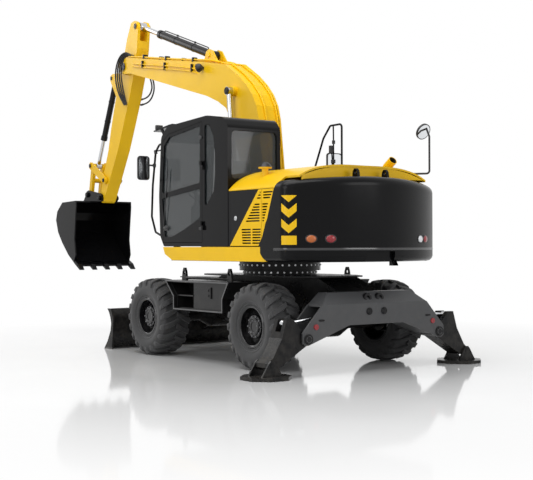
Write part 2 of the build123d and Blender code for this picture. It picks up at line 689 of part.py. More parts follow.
def boom_pipe(y):
    """Steel hydraulic line seated along the boom's back, from its foot to the crank's top."""
    route = [(118, 2500), (222, 3330), (278, 3516), (380, 3684), (532, 3840), (732, 3996),
             (1066, 4198), (1350, 4253)]
    return tube([(x, y, z) for x, z in route], 15, 60)


def boom_cylinders():
    barrel, rod = hydraulic_cylinder(boom_cylinder_base, boom_eye, 1660, 50, 35, 60, 76, 30)
    place = Pos(0, boom_cylinder_y, 0)
    return both_sides(place * barrel), both_sides(place * rod)


def arm_cylinder():
    return hydraulic_cylinder(arm_cylinder_base, arm_eye, 1795, 62, 40, 70, 120, 35)


def arm():
    """Tapered box arm with ears for its cylinder and for the bucket's cylinder."""
    front = [(3998, 5270), (4137, 5020), (4250, 4720), (4420, 4372), (4600, 3880), (4711, 3547),
             (4803, 3210), (5009, 2720), (5110, 2420), (5090, 2330), (5040, 2305)]
    back = [(4985, 2330), (4760, 2690), (4660, 2860), (4460, 3190), (4300, 3520), (4150, 3840),
            (4060, 4020), (3940, 4330), (3860, 4560), (3800, 4816), (3760, 5180), (3800, 5260),
            (3880, 5290)]
    body = side_profile(front + back, -arm_half_width, arm_half_width)
    body -= block(3500, 4010, -68, 68, 4950, 5500)
    for side in (-1, 1):
        low, high = sorted((side * 70, side * 95))
        ear = [(4330, 4480), (4690, 4510), (4770, 4480), (4770, 4400), (4560, 4100), (4450, 4150)]
        body += side_profile(ear, low, high)
        low, high = sorted((side * arm_half_width, side * (arm_half_width + 12)))
        body += rod_y(*arm_eye, 48, low, high)
    body += rod_y(*bucket_cylinder_base, 30, -100, 100)
    body -= rod_y(*boom_nose, pin_radius + running_fit, -300, 300)
    body -= rod_y(*bucket_pivot, pin_radius + running_fit, -300, 300)
    body += rod_y(*rocker_pivot, 35, -170, 170)
    return body


def bucket_cylinder():
    return hydraulic_cylinder(bucket_cylinder_base, rocker_eye, 1220, 50, 33, 48, 90, 30)


def capsule(start, end, radius, y_low, y_high):
    """A link plate with round ends."""
    lean = degrees(atan2(end[1] - start[1], end[0] - start[0]))
    length = hypot(end[0] - start[0], end[1] - start[1])
    shape = rod_y(0, 0, radius, y_low, y_high) + rod_y(length, 0, radius, y_low, y_high)
    shape += block(0, length, y_low, y_high, -radius, radius)
    return Pos(start[0], 0, start[1]) * Rot(0, -lean, 0) * shape


def rocker():
    body = both_sides(capsule(rocker_pivot, rocker_eye, 62, 125, 155))
    for side in (-1, 1):
        low, high = sorted((side * 60, side * 165))
        body += rod_y(*rocker_eye, 30, low, high)
    body -= rod_y(*rocker_pivot, 35 + running_fit, -300, 300)
    return body


def bucket_link():
    body = both_sides(capsule(rocker_eye, bucket_eye, 45, 62, 118))
    middle = ((rocker_eye[0] + bucket_eye[0]) / 2, (rocker_eye[1] + bucket_eye[1]) / 2)
    body += rod_y(*middle, 40, -70, 70)
    body -= rod_y(*rocker_eye, 30 + running_fit, -300, 300)
    return body


def bucket():
    """Digging bucket: curved shell between side plates, pin ears on top, five teeth."""
    outer = [(5200, 2340), (5730, 2325), (5935, 2170), (5985, 2020), (5900, 1800), (5730, 1610),
             (5490, 1400), (5280, 1270)]
    inner = [(5200, 2315), (5720, 2300), (5910, 2155), (5957, 2020), (5875, 1812), (5712, 1630),
             (5475, 1422), (5262, 1290)]
    half = bucket_half_width
    body = side_profile(outer + inner[::-1], -half, half)
    side = outer + [(5215, 1400), (5258, 1660), (5225, 1980), (5195, 2230)]
    body += both_sides(side_profile(side, half - 22, half))
    body += side_profile([(5290, 1290), (5270, 1262), (5130, 1200), (5140, 1230)], -half, half)
    for i in range(5):
        y = (i - 2) * (half - 45) / 2
        tooth = [(5250, 1300), (5270, 1255), (5060, 1140), (5035, 1146), (5120, 1240)]
        body += side_profile(tooth, y - 40, y + 40)
    for side_sign in (-1, 1):
        low, high = sorted((side_sign * 125, side_sign * 160))
        ear = [(4990, 2440), (5050, 2472), (5480, 2540), (5550, 2520), (5580, 2460), (5700, 2320),
               (5100, 2320), (4990, 2330), (4970, 2380)]
        body += side_profile(ear, low, high)
        low, high = sorted((side_sign * 160, side_sign * 185))
        body += rod_y(*bucket_eye, 45, low, high)
    body += rod_y(*bucket_pivot, pin_radius, -185, 185)
    return body


# ---------------------------------------------------------------- mirrors, rails, lamps
def mirrors():
    """Two mirrors ahead of the cab, one on the tall rail and a round one on the tail's post."""
    left = rounded_plate(1437, 1463, 1235, 1424, 2487, 2827)
    left += rod_y(1450, 2700, 12, 1150, 1240)
    ahead = rounded_plate(1437, 1463, 724, 991, 2490, 2800)
    ahead += tube([(1395, 1150, 2900), (1450, 1010, 2930), (1450, 860, 2900), (1450, 860, 2790)],
                  10, 40)
    right = rounded_plate(262, 288, -1330, -1056, 2662, 2904)
    right += rod_x(-1163, 2780, 10, 240, 265) + block(236, 280, -1140, -1100, 2900, 3010)
    post = tube([(-1430, -1000, 2350), (-1430, -1000, 2500), (-1700, -1200, 2500),
                 (-1700, -1200, 2990), (-1640, -1200, 3110)], 13, 40)
    face = Rot(0, 62, -35) * Cylinder(110, 26)
    tail = on_hood(post) + Pos(-1610, -1175, 3060) * face
    rails = handrails()
    pieces = [piece - rails for piece in (left, ahead, right, tail)]
    return Compound([solid for piece in pieces for solid in piece.solids()])


def rounded_plate(x_low, x_high, y_low, y_high, z_low, z_high):
    """A mirror's housing: a thick plate across X with round corners."""
    corners = [(y_low, z_low), (y_high, z_low), (y_high, z_high), (y_low, z_high)]
    return cross_profile(corners, x_low, x_high, 45)


def handrails():
    """Grab rail at the cab's front corner and the tall braced rail on the tank."""
    left = tube([(1100, 1150, 3010), (1311, 1150, 2982), (1412, 1150, 2888), (1495, 1150, 2424),
                 (1525, 1150, 1975), (1417, 1150, 1749), (1277, 1150, 1703), (1100, 1150, 1695)],
                15, 40)
    left = left - cab_solid(0, cab_inner_y, cab_outer_y)
    right = tube([(662, -1120, 1900), (640, -1120, 2690), (430, -1120, 3125), (270, -1120, 3300),
                  (8, -1120, 3305), (8, -1120, 2200)], 15, 50)
    right += tube([(200, -1120, 3300), (240, -1155, 3190), (240, -1163, 2200)], 11, 60)
    right -= block(-100, 500, -1200, -1000, 2000, 2262)
    right -= block(500, 1100, -1200, -1000, 1800, 1960)
    return Compound([*left.solids(), *right.solids()])


def beam_lamps():
    return Compound([rod_x(side * 954, 586, 34, beam_rear_x - 12, beam_rear_x).solid()
                     for side in (-1, 1)])


# ---------------------------------------------------------------- writing the pieces
def build_all():
    pieces = {}
    for name, side in (("left", 1), ("right", -1)):
        tyre, rim = wheel(side)
        for axle, x in (("rear_", rear_axle_x), ("front_", front_axle_x)):
            pieces["tyre_" + axle + name] = Pos(x, 0, 0) * tyre
            pieces["rim_" + axle + name] = Pos(x, 0, 0) * rim
    pieces["rear_axle"] = rear_axle()
    pieces["front_axle"] = front_axle()
    pieces["drive_line"] = drive_line()
    pieces["chassis_frame"] = chassis_frame()
    pieces["stabiliser_beam"] = stabiliser_beam()
    pieces["beam_lamps"] = beam_lamps()
    pieces["steering_rod"] = steering_rod()
    pieces["side_boxes"] = Compound([*side_box(1).solids(), *side_box(-1).solids()])
    for name, side in (("left", 1), ("right", -1)):
        pieces["knuckle_" + name] = knuckle(side)
        pieces["stabiliser_leg_" + name] = leg(side)
        pieces["stabiliser_foot_" + name] = foot(side)
        barrel, rod = leg_cylinder(side)
        pieces["leg_barrel_" + name] = barrel
        pieces["leg_rod_" + name] = rod
        pieces["service_door_" + name] = service_door(side)
    pieces["blade"] = blade()
    pieces["blade_barrels"], pieces["blade_rods"] = blade_cylinders()
    pieces["counterweight"], pieces["tail_cheeks"] = tail()
    for function in (upper_frame, body_panels, skirts, hood, tank, engine_block, exhaust,
                     precleaner, cab_shell, cab_glass, cab_door, door_glass, seat, console,
                     mirrors, handrails, boom, arm, rocker, bucket_link, bucket):
        pieces[function.__name__] = function()
    pieces["boom_barrels"], pieces["boom_rods"] = boom_cylinders()
    pieces["arm_barrel"], pieces["arm_rod"] = arm_cylinder()
    pieces["bucket_barrel"], pieces["bucket_rod"] = bucket_cylinder()
    return pieces


pieces = build_all()
whole = Compound([solid for piece in pieces.values() for solid in piece.solids()])
box = whole.bounding_box()
middle_x = (box.min.X + box.max.X) / 2
print("slew axis at x =", round(-middle_x, 3), "of the written frame; size", box.size)
os.makedirs("parts", exist_ok=True)
for name, piece in pieces.items():
    export_step(Pos(-middle_x, 0, 0) * piece, f"parts/{name}.step")
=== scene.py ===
"""Finished pieces, materials, stage and camera for a wheeled excavator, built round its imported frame.

Lengths are in metres. Unless a comment says otherwise, points are given in the machine's own axes:
x forward from the slew axis, y to the machine's left, z up from the ground. A mesh moves them by
SLEW_X when it is made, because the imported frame's origin is the middle of the machine's box.
"""

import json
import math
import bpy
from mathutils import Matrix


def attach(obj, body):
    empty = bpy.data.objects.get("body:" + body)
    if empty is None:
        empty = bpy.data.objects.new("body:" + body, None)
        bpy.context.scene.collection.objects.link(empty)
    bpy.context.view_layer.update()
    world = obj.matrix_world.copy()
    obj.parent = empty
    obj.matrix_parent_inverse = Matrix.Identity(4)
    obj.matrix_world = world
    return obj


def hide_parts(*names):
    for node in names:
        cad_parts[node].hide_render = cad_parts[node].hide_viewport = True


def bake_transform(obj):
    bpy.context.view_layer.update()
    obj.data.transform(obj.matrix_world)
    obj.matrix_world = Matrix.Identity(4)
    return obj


bl_info = {
    "name": "Wheeled Excavator Dresser",
    "version": (1, 0, 0),
    "blender": (4, 5, 0),
    "location": "View3D > Sidebar > Excavator",
    "description": "Tyres, glass, lamps, hoses, trim and paint for a wheeled excavator",
    "category": "Add Mesh",
}

import bmesh
import bpy
import numpy as np
from bpy.props import FloatProperty, FloatVectorProperty, PointerProperty
from mathutils import Matrix

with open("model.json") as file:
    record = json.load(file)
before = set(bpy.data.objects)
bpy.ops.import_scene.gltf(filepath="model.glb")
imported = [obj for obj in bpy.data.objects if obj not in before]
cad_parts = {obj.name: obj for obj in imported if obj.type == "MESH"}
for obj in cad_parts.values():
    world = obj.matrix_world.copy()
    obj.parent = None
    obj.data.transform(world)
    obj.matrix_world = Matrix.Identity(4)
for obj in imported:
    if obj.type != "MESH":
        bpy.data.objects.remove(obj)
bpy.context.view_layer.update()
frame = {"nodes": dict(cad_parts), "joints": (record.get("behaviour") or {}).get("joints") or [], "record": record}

JOINT = {j["name"]: j for j in frame["joints"]}
SLEW_X = JOINT["slew"]["pos_m"][0]
SIDES = {"left": 1, "right": -1}
WHEELS = ("rear_left", "rear_right", "front_left", "front_right")
SHARP_ANGLE = 35                # degrees between two faces from which their edge stays sharp


# ---------------------------------------------------------------- mesh helpers
class Shell:
    """Collects surfaces, each a grid of points over two parameters, and makes one mesh of them."""

    def __init__(self):
        self.points, self.faces, self.count = [], [], 0

    def add(self, grid, close_u=False, close_v=False):
        """grid[u, v] is a point; a closed direction joins its last row to its first."""
        grid = np.asarray(grid, float)
        rows, columns = grid.shape[:2]
        index = np.arange(rows * columns).reshape(rows, columns) + self.count
        if close_u:
            index = np.vstack([index, index[:1]])
        if close_v:
            index = np.hstack([index, index[:, :1]])
        quads = np.stack([index[:-1, :-1], index[1:, :-1], index[1:, 1:], index[:-1, 1:]], -1)
        self.points.append(grid.reshape(-1, 3))
        self.faces.extend(quads.reshape(-1, 4).tolist())
        self.count += rows * columns
        return self

    def many(self, grid, places, **closed):
        """One copy of the grid for each 4 x 4 place."""
        for place in places:
            self.add(grid @ place[:3, :3].T + place[:3, 3], **closed)
        return self

    def mesh(self, name, sharp, merge=1e-6):
        """Merges doubled points, turns faces outwards and shades smooth below the sharp angle."""
        points = np.vstack(self.points) + (SLEW_X, 0, 0)
        data = bpy.data.meshes.new(name)
        data.from_pydata(points.tolist(), [], self.faces)
        work = bmesh.new()
        work.from_mesh(data)
        bmesh.ops.remove_doubles(work, verts=work.verts, dist=merge)
        bmesh.ops.dissolve_degenerate(work, edges=work.edges, dist=merge)
        bmesh.ops.recalc_face_normals(work, faces=work.faces)
        work.to_mesh(data)
        work.free()
        data.polygons.foreach_set("use_smooth", [True] * len(data.polygons))
        data.set_sharp_from_angle(angle=math.radians(sharp))
        return data


def dressed(shell, name, material, sharp):
    """The shell as an object of the scene, in one of the finishes."""
    thing = bpy.data.objects.new(name, shell.mesh(name, sharp))
    bpy.context.scene.collection.objects.link(thing)
    thing.data.materials.append(FINISH[material])
    return thing


def finish(shell, name, body, material, replaces=(), sharp=SHARP_ANGLE):
    """Makes the shell one piece that rides on a body, and hides the imported nodes that it replaces."""
    thing = dressed(shell, name, material, sharp)
    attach(thing, body)
    if replaces:
        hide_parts(*replaces)
    return thing


def turned(axis, angle):
    """Rotation by an angle about x, y or z, as 3 x 3."""
    c, s = math.cos(angle), math.sin(angle)
    a, b = {"x": (1, 2), "y": (2, 0), "z": (0, 1)}[axis]
    matrix = np.eye(3)
    matrix[a, a], matrix[a, b], matrix[b, a], matrix[b, b] = c, -s, s, c
    return matrix


def place(at, turn=None):
    """4 x 4 matrix that turns a shape and then moves it to a point."""
    matrix = np.eye(4)
    matrix[:3, 3] = at
    if turn is not None:
        matrix[:3, :3] = turn
    return matrix


def toward(direction):
    """3 x 3 rotation that takes +z to the direction."""
    z = np.asarray(direction, float) / np.linalg.norm(direction)
    x = np.cross((0, 1, 0) if abs(z[1]) < 0.9 else (1, 0, 0), z)
    x /= np.linalg.norm(x)
    return np.stack([x, np.cross(z, x), z], 1)


def revolved(profile, sides=48):
    """Profile (radius, height) carried round +z: point = (r cos a, r sin a, h)."""
    profile = np.asarray(profile, float)
    a = np.linspace(0, 2 * math.pi, sides, endpoint=False)[:, None]
    r, h = profile[:, 0][None], profile[:, 1][None]
    return np.stack([r * np.cos(a), r * np.sin(a), h + 0 * a], -1)


def rounded_box(low, high, radius, steps=4):
    """Each point is a corner of the shrunken box plus the radius along a direction on the sphere."""
    low, high = np.asarray(low, float), np.asarray(high, float)
    half = (high - low) / 2 - radius
    quarter = np.linspace(0, math.pi / 2, steps + 1)
    turns = np.concatenate([quarter + k * math.pi / 2 for k in range(4)])[:, None]
    tilt = np.concatenate([quarter - math.pi / 2, quarter])[None]
    signs_x = np.repeat([1, -1, -1, 1], steps + 1)[:, None]
    signs_y = np.repeat([1, 1, -1, -1], steps + 1)[:, None]
    signs_z = np.repeat([-1, 1], steps + 1)[None]
    x = half[0] * signs_x + radius * np.cos(turns) * np.cos(tilt)
    y = half[1] * signs_y + radius * np.sin(turns) * np.cos(tilt)
    z = half[2] * signs_z + radius * np.sin(tilt) + 0 * turns
    # the two poles close onto the middle of the end faces
    grid = np.stack(np.broadcast_arrays(x, y, z), -1)
    end = grid[:, :1] * (0, 0, 1), grid[:, -1:] * (0, 0, 1)
    return np.concatenate([end[0], grid, end[1]], 1) + (low + high) / 2


def bolts(shell, radius, height, places):
    """Adds one bolt at each place: a chamfered hexagon head on a round washer that stands on z = 0."""
    flange, seat, shoulder = radius * 1.35, height * 0.25, height * 0.9
    washer = [(0, 0), (flange, 0), (flange, seat), (radius, seat)]
    head = [(radius, height * 0.2), (radius, shoulder), (radius * 0.86, height), (0, height)]
    for profile, sides in ((washer, 24), (head, 6)):
        shell.many(revolved(profile, sides), places, close_u=True)


def spline(points, steps=8):
    """Cubic B-spline over the control points, its ends doubled so that it reaches them:
    each stretch is the sum of four neighbours times the blending cubics of its share t."""
    p = np.asarray(points, float)
    p = np.vstack([2 * p[0] - p[1], p, 2 * p[-1] - p[-2]])
    t = np.linspace(0, 1, steps, endpoint=False)[:, None, None]
    a, b, c, d = p[None, :-3], p[None, 1:-2], p[None, 2:-1], p[None, 3:]
    run = ((1 - t) ** 3 * a + (3 * t ** 3 - 6 * t ** 2 + 4) * b
           + (-3 * t ** 3 + 3 * t ** 2 + 3 * t + 1) * c + t ** 3 * d) / 6
    run = run.transpose(1, 0, 2).reshape(-1, 3)
    return np.vstack([run, p[-2][None]])


def swept(path, radius, sides=12):
    """Circle carried along a path: point = path + r (cos a * side + sin a * upward), where side
    and upward stand square to the path's direction. Both ends close onto the path."""
    path = np.asarray(path, float)
    along = np.gradient(path, axis=0)
    along /= np.linalg.norm(along, axis=1)[:, None]
    lead = np.array([0.13, 0.97, 0.21])
    side = np.cross(along, lead)
    side /= np.linalg.norm(side, axis=1)[:, None]
    upward = np.cross(along, side)
    a = np.linspace(0, 2 * math.pi, sides, endpoint=False)[None, :, None]
    r = np.broadcast_to(np.asarray(radius, float).reshape(-1, 1, 1), (len(path), 1, 1))
    grid = path[:, None] + r * (np.cos(a) * side[:, None] + np.sin(a) * upward[:, None])
    ends = [np.broadcast_to(path[i], grid[i].shape)[None] for i in (0, -1)]
    return np.concatenate([ends[0], grid, ends[1]])


def prism(outline, axis, low, high, edge=0.003):
    """Flat outline made solid along an axis, with its two rims chamfered: four copies of the
    outline, the outer two drawn in towards the middle, and a cap at each end."""
    flat = np.asarray(outline, float)
    middle = flat.mean(0)
    size = np.abs(flat - middle).max(0)
    small = middle + (flat - middle) * (1 - edge / size)
    point = flat * 0 + middle
    levels = ((point, low), (small, low), (flat, low + edge),
              (flat, high - edge), (small, high), (point, high))
    return np.stack([np.insert(shape, axis, depth, axis=1) for shape, depth in levels], 1)


def ellipse(centre, half, count=28, power=2.0):
    """Closed superellipse round a centre: (|x| / a) ** n + (|y| / b) ** n = 1."""
    a = np.linspace(0, 2 * math.pi, count, endpoint=False)
    unit = np.stack([np.cos(a), np.sin(a)], 1)
    bent = np.sign(unit) * np.abs(unit) ** (2 / power)
    return np.asarray(centre) + bent * half


# ---------------------------------------------------------------- materials
class Finish:
    """The nodes of one material, with short ways to add a node and join it to others."""

    def __init__(self, name):
        self.material = bpy.data.materials.new(name)
        self.material.use_nodes = True
        self.nodes, self.links = self.material.node_tree.nodes, self.material.node_tree.links
        self.nodes.clear()
        self.shader = self.nodes.new("ShaderNodeBsdfPrincipled")
        self.output = self.nodes.new("ShaderNodeOutputMaterial")
        self.join(self.shader.outputs[0], self.output.inputs["Surface"])
        # patterns are placed in the machine's own axes
        moved = self.nodes.new("ShaderNodeMapping")
        moved.inputs["Location"].default_value = (-SLEW_X, 0, 0)
        coordinates = self.nodes.new("ShaderNodeTexCoord")
        self.join(coordinates.outputs["Object"], moved.inputs["Vector"])
        self.where = moved.outputs[0]

    def join(self, source, socket):
        """Links a socket, or sets the value of one that nothing feeds."""
        if isinstance(source, bpy.types.NodeSocket):
            self.links.new(source, socket)
        elif isinstance(source, (tuple, list)) and socket.type == "RGBA":
            socket.default_value = (*source[:3], 1)
        else:
            socket.default_value = source

    def math(self, operation, first, second=0.0):
        """Two numbers or sockets put through a sum, product or the like."""
        node = self.nodes.new("ShaderNodeMath")
        node.operation = operation
        self.join(first, node.inputs[0])
        self.join(second, node.inputs[1])
        return node.outputs[0]

    def axis(self, letter):
        """One coordinate of the surface, in the machine's own axes."""
        split = self.nodes.new("ShaderNodeSeparateXYZ")
        self.join(self.where, split.inputs[0])
        return split.outputs[letter]

    def noise(self, scale, detail, roughness=0.5, stretch=None):
        """Cloudy pattern, finer with its scale and drawn out where the stretch is small."""
        texture = self.nodes.new("ShaderNodeTexNoise")
        for key, value in (("Scale", scale), ("Detail", detail), ("Roughness", roughness)):
            texture.inputs[key].default_value = value
        source = self.where
        if stretch:
            mapping = self.nodes.new("ShaderNodeMapping")
            mapping.inputs["Scale"].default_value = stretch
            self.join(source, mapping.inputs["Vector"])
            source = mapping.outputs[0]
        self.join(source, texture.inputs["Vector"])
        return texture.outputs["Fac"]

    def ramp(self, source, low, high, to_low=0.0, to_high=1.0):
        """The source carried from low..high to to_low..to_high and held at the ends."""
        node = self.nodes.new("ShaderNodeMapRange")
        self.join(source, node.inputs["Value"])
        for key, value in (("From Min", low), ("From Max", high), ("To Min", to_low), ("To Max", to_high)):
            node.inputs[key].default_value = value
        return node.outputs["Result"]

    def mix(self, factor, first, second):
        """The first colour where the factor is 0 and the second where it is 1."""
        node = self.nodes.new("ShaderNodeMix")
        node.data_type = "RGBA"
        self.join(factor, node.inputs["Factor"])
        colours = [socket for socket in node.inputs if socket.type == "RGBA"]
        self.join(first, colours[0])
        self.join(second, colours[1])
        return next(socket for socket in node.outputs if socket.type == "RGBA")

    def beyond(self, start, end):
        """1 to the left of the line that runs from start to end in (x, z), seen with x to the
        right: the line's normal times the coordinates, less its own value there."""
        normal = np.array([-(end[1] - start[1]), 0, end[0] - start[0]], float)
        normal /= np.linalg.norm(normal)
        node = self.nodes.new("ShaderNodeVectorMath")
        node.operation = "DOT_PRODUCT"
        self.join(self.where, node.inputs[0])
        node.inputs[1].default_value = normal
        level = float(normal @ (start[0], 0, start[1]))
        blur = 0.001
        return self.ramp(node.outputs["Value"], level - blur, level + blur)

    def bump(self, height, strength, distance):
        """Raises the surface in its shading by the height pattern."""
        node = self.nodes.new("ShaderNodeBump")
        node.inputs["Strength"].default_value = strength
        node.inputs["Distance"].default_value = distance
        self.join(height, node.inputs["Height"])
        self.join(node.outputs[0], self.shader.inputs["Normal"])

    def set(self, **values):
        """Numbers, colours or sockets for the shader's inputs, with _ for a space in a name."""
        for key, value in values.items():
            self.join(value, self.shader.inputs[key.replace("_", " ")])


DUST = (0.20, 0.18, 0.155)
DUST_FOOT, DUST_TOP = 0.05, 1.2     # heights between which the dust on paint thins out


def shaded(colour, share):
    """The colour made darker or lighter by a share."""
    return tuple(min(1.0, c * share) for c in colour)


def paint(name, colour, roughness, pattern=None, dust=0.10, peel=0.12, gloss=0.3, coat=0.0):
    """Sprayed paint: cloudy colour, dust that thins out with height, orange peel, and an
    optional pattern, which is given the painted colour and returns the one to show."""
    f = Finish(name)
    cloud = f.ramp(f.noise(1.7, 5), 0.3, 0.7)
    toned = f.mix(cloud, shaded(colour, 0.95), shaded(colour, 1.04))
    if pattern:
        toned = pattern(f, toned)
    low = f.ramp(f.axis("Z"), DUST_FOOT, DUST_TOP, dust, 0.0)
    grit = f.ramp(f.noise(9, 8, 0.7), 0.4, 0.75)
    f.set(Base_Color=f.mix(f.math("MULTIPLY", low, grit), toned, DUST),
          Roughness=f.ramp(f.noise(4, 6), 0.3, 0.7, roughness * 0.85, roughness * 1.15),
          Specular_IOR_Level=gloss, Coat_Weight=coat, Coat_Roughness=0.06)
    f.bump(f.noise(420, 2), peel, 0.0004)
    return f.material


def metal(name, colour, roughness):
    """Bare metal with fine scratches that run level round it."""
    f = Finish(name)
    lines = f.noise(60, 6, 0.6, (1, 1, 30))
    f.set(Base_Color=f.mix(f.ramp(lines, 0.3, 0.7), shaded(colour, 0.88), colour), Metallic=1.0,
          Roughness=f.ramp(lines, 0.25, 0.75, roughness * 0.7, roughness * 1.3))
    f.bump(lines, 0.1, 0.0003)
    return f.material


def rubber(name, colour, roughness, grain, sheen=0.1):
    """Moulded rubber, plastic or cloth: mottled, dull, with a fine grain."""
    f = Finish(name)
    mottle = f.ramp(f.noise(6, 8, 0.65), 0.35, 0.7)
    f.set(Base_Color=f.mix(mottle, colour, shaded(colour, 1.5)), Sheen_Weight=sheen,
          Roughness=f.ramp(mottle, 0, 1, roughness * 0.9, min(1, roughness * 1.1)), Specular_IOR_Level=0.35)
    f.bump(f.noise(grain, 5, 0.6), 0.3, 0.001)
    return f.material


def glass(name, colour, alpha):
    """Thin tinted pane with faint smears in its gloss."""
    f = Finish(name)
    smear = f.ramp(f.noise(3, 6, 0.6, (1, 1, 0.4)), 0.3, 0.7)
    f.set(Base_Color=f.mix(smear, colour, shaded(colour, 0.85)), Roughness=f.ramp(smear, 0, 1, 0.02, 0.07),
          Alpha=alpha)
    return f.material


def tread_rubber(name, colour, roughness):
    """Tyre rubber: mottled between a darker and a paler shade, dull, with a coarse grain."""
    f = Finish(name)
    mottle = f.ramp(f.noise(14, 8, 0.65), 0.35, 0.7)
    f.set(Base_Color=f.mix(mottle, shaded(colour, 0.75), shaded(colour, 1.5)), Sheen_Weight=0.15,
          Roughness=f.ramp(mottle, 0, 1, roughness * 0.8, roughness * 1.15), Specular_IOR_Level=0.4)
    f.bump(f.noise(150, 5, 0.6), 0.35, 0.0012)
    return f.material


def swept_band(f, toned, band):
    """The engine door's sides: a slanting band of the body colour between two dark fields, with the louvre slots
    painted black where the surface is let in, as painted shade."""
    front_foot, front_top = (-0.547, 1.553), (-1.195, 2.267)
    rear_foot, rear_knee, rear_top = (-1.282, 1.552), (-1.402, 1.873), (-1.737, 2.342)
    slot_floor, door_face = 1.190, 1.196
    above = f.beyond(front_foot, front_top)
    behind = f.beyond(rear_top, rear_knee)
    corner = f.beyond(rear_knee, rear_foot)
    tail = f.math("MULTIPLY", behind, corner)
    dark = f.math("MAXIMUM", f.math("SUBTRACT", 1.0, above), f.math("SUBTRACT", 1.0, tail))
    # painted shade: the let-in floor of each louvre slot is coloured black for the dark engine bay behind it
    slot_shade = f.ramp(f.math("ABSOLUTE", f.axis("Y")), slot_floor, door_face, 1.0, 0.0)
    return f.mix(f.math("MAXIMUM", dark, slot_shade), band, toned)


def step_edge_highlight(f, toned):
    """The step boxes' outer edges painted paler, as a painted highlight."""
    return f.mix(f.ramp(f.math("ABSOLUTE", f.axis("Y")), 1.192, 1.197), toned, (0.11, 0.11, 0.112))


def cutting_edge(f, toned):
    """Bare steel along the blade's lower edge."""
    return f.mix(f.ramp(f.axis("Z"), 0.03, 0.012), toned, (0.14, 0.135, 0.13))


FINISH = {}


def make_finishes(colours):
    """Makes the material of every slot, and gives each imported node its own."""
    yellow, black, grey = (tuple(c) for c in (colours.yellow, colours.black, colours.chassis))
    tail = tuple(colours.tail)

    def banded(f, toned):
        """The painted black with a band of the body's yellow."""
        return swept_band(f, toned, yellow)

    def capped(f, toned):
        """A yellow stem under a dark cap."""
        return f.mix(f.ramp(f.axis("Z"), 2.535, 2.545), yellow, toned)

    clean = {"peel": 0.05, "dust": 0.0}
    makers = {
        # name: (maker, colour, roughness, what else it takes)
        "yellow_paint": (paint, yellow, 0.34, {"gloss": 0.22}),
        "black_paint": (paint, black, 0.16, {"gloss": 0.12, "peel": 0.06}),
        "cast_tail": (paint, tail, 0.2, {"gloss": 0.12}),
        "chassis_grey": (paint, grey, 0.28, {"dust": 0.22, "gloss": 0.16}),
        "beam_grey": (paint, tuple(colours.beam), 0.38, {"dust": 0.2}),
        "rim_black": (paint, (0.006, 0.006, 0.007), 0.12, {"gloss": 0.5, "dust": 0.05}),
        "cylinder_black": (paint, (0.007, 0.007, 0.008), 0.25, {"gloss": 0.2}),
        "engine_grey": (paint, (0.06, 0.06, 0.064), 0.55, {}),
        "steel": (metal, (0.56, 0.57, 0.58), 0.3, {}),
        "rod_chrome": (metal, (0.60, 0.61, 0.63), 0.12, {}),
        "tyre_rubber": (tread_rubber, tuple(colours.tyre), 0.7, {}),
        "dark_plastic": (rubber, (0.012, 0.012, 0.013), 0.45, {"grain": 500}),
        "seat_fabric": (rubber, (0.03, 0.03, 0.033), 0.9, {"grain": 900, "sheen": 0.4}),
        "red_lens": (paint, (0.28, 0.008, 0.014), 0.1, {**clean, "coat": 0.5}),
        "orange_lens": (paint, (0.46, 0.11, 0.015), 0.1, {**clean, "coat": 0.5}),
        "clear_lens": (paint, (0.75, 0.76, 0.78), 0.08, {**clean, "coat": 1.0}),
        "nut_steel": (metal, (0.20, 0.20, 0.21), 0.4, {}),
        "hose_rubber": (rubber, (0.010, 0.010, 0.011), 0.4, {"grain": 700}),
        "mirror_face": (metal, (0.86, 0.88, 0.90), 0.04, {}),
        "sticker_yellow": (paint, yellow, 0.35, {"peel": 0.02}),
        "window_glass": (glass, tuple(colours.glass), 0.50, {}),
        "door_pane": (glass, tuple(colours.glass), 0.70, {}),
        # the tail lip: a paler black than the tail's, a painted highlight along the bumper's top edge
        "lip_gloss": (paint, (0.02, 0.02, 0.021), 0.12, {"gloss": 0.6}),
        "banded_side": (paint, tail, 0.22, {"pattern": banded, "gloss": 0.14}),
        # step boxes: a pale grey painted highlight on their outer edges
        "edged_box": (paint, grey, 0.3, {"pattern": step_edge_highlight, "dust": 0.2}),
        "capped_stem": (paint, (0.012, 0.012, 0.013), 0.35, {"pattern": capped}),
        "blade_paint": (paint, grey, 0.25, {"pattern": cutting_edge, "dust": 0.2, "gloss": 0.16}),
    }
    for name, (maker, colour, roughness, extra) in makers.items():
        FINISH[name] = maker(name, colour, roughness, **extra)
    own = {"door_glass": "door_pane", "side_boxes": "edged_box", "precleaner": "capped_stem",
           "blade": "blade_paint"}
    for node in ("service_door_left", "service_door_right", "body_panels", "tail_cheeks"):
        own[node] = "banded_side"
    slots = {row["node"]: row["material_slot"] for row in frame["record"]["subparts"]}
    for node, thing in frame["nodes"].items():
        thing.data.materials.clear()
        thing.data.materials.append(FINISH[own.get(node, slots[node])])


# ---------------------------------------------------------------- wheels
TYRE_HALF = 0.2285
CARCASS_RADIUS = 0.507
SHOULDER_RADIUS = 0.05
LUGS = 20
LUG_HEIGHT = 0.039
WHEEL_STEPS = 96
NUTS, NUT_CIRCLE = 10, 0.128
HUB_BOLTS, HUB_CIRCLE = 8, 0.078


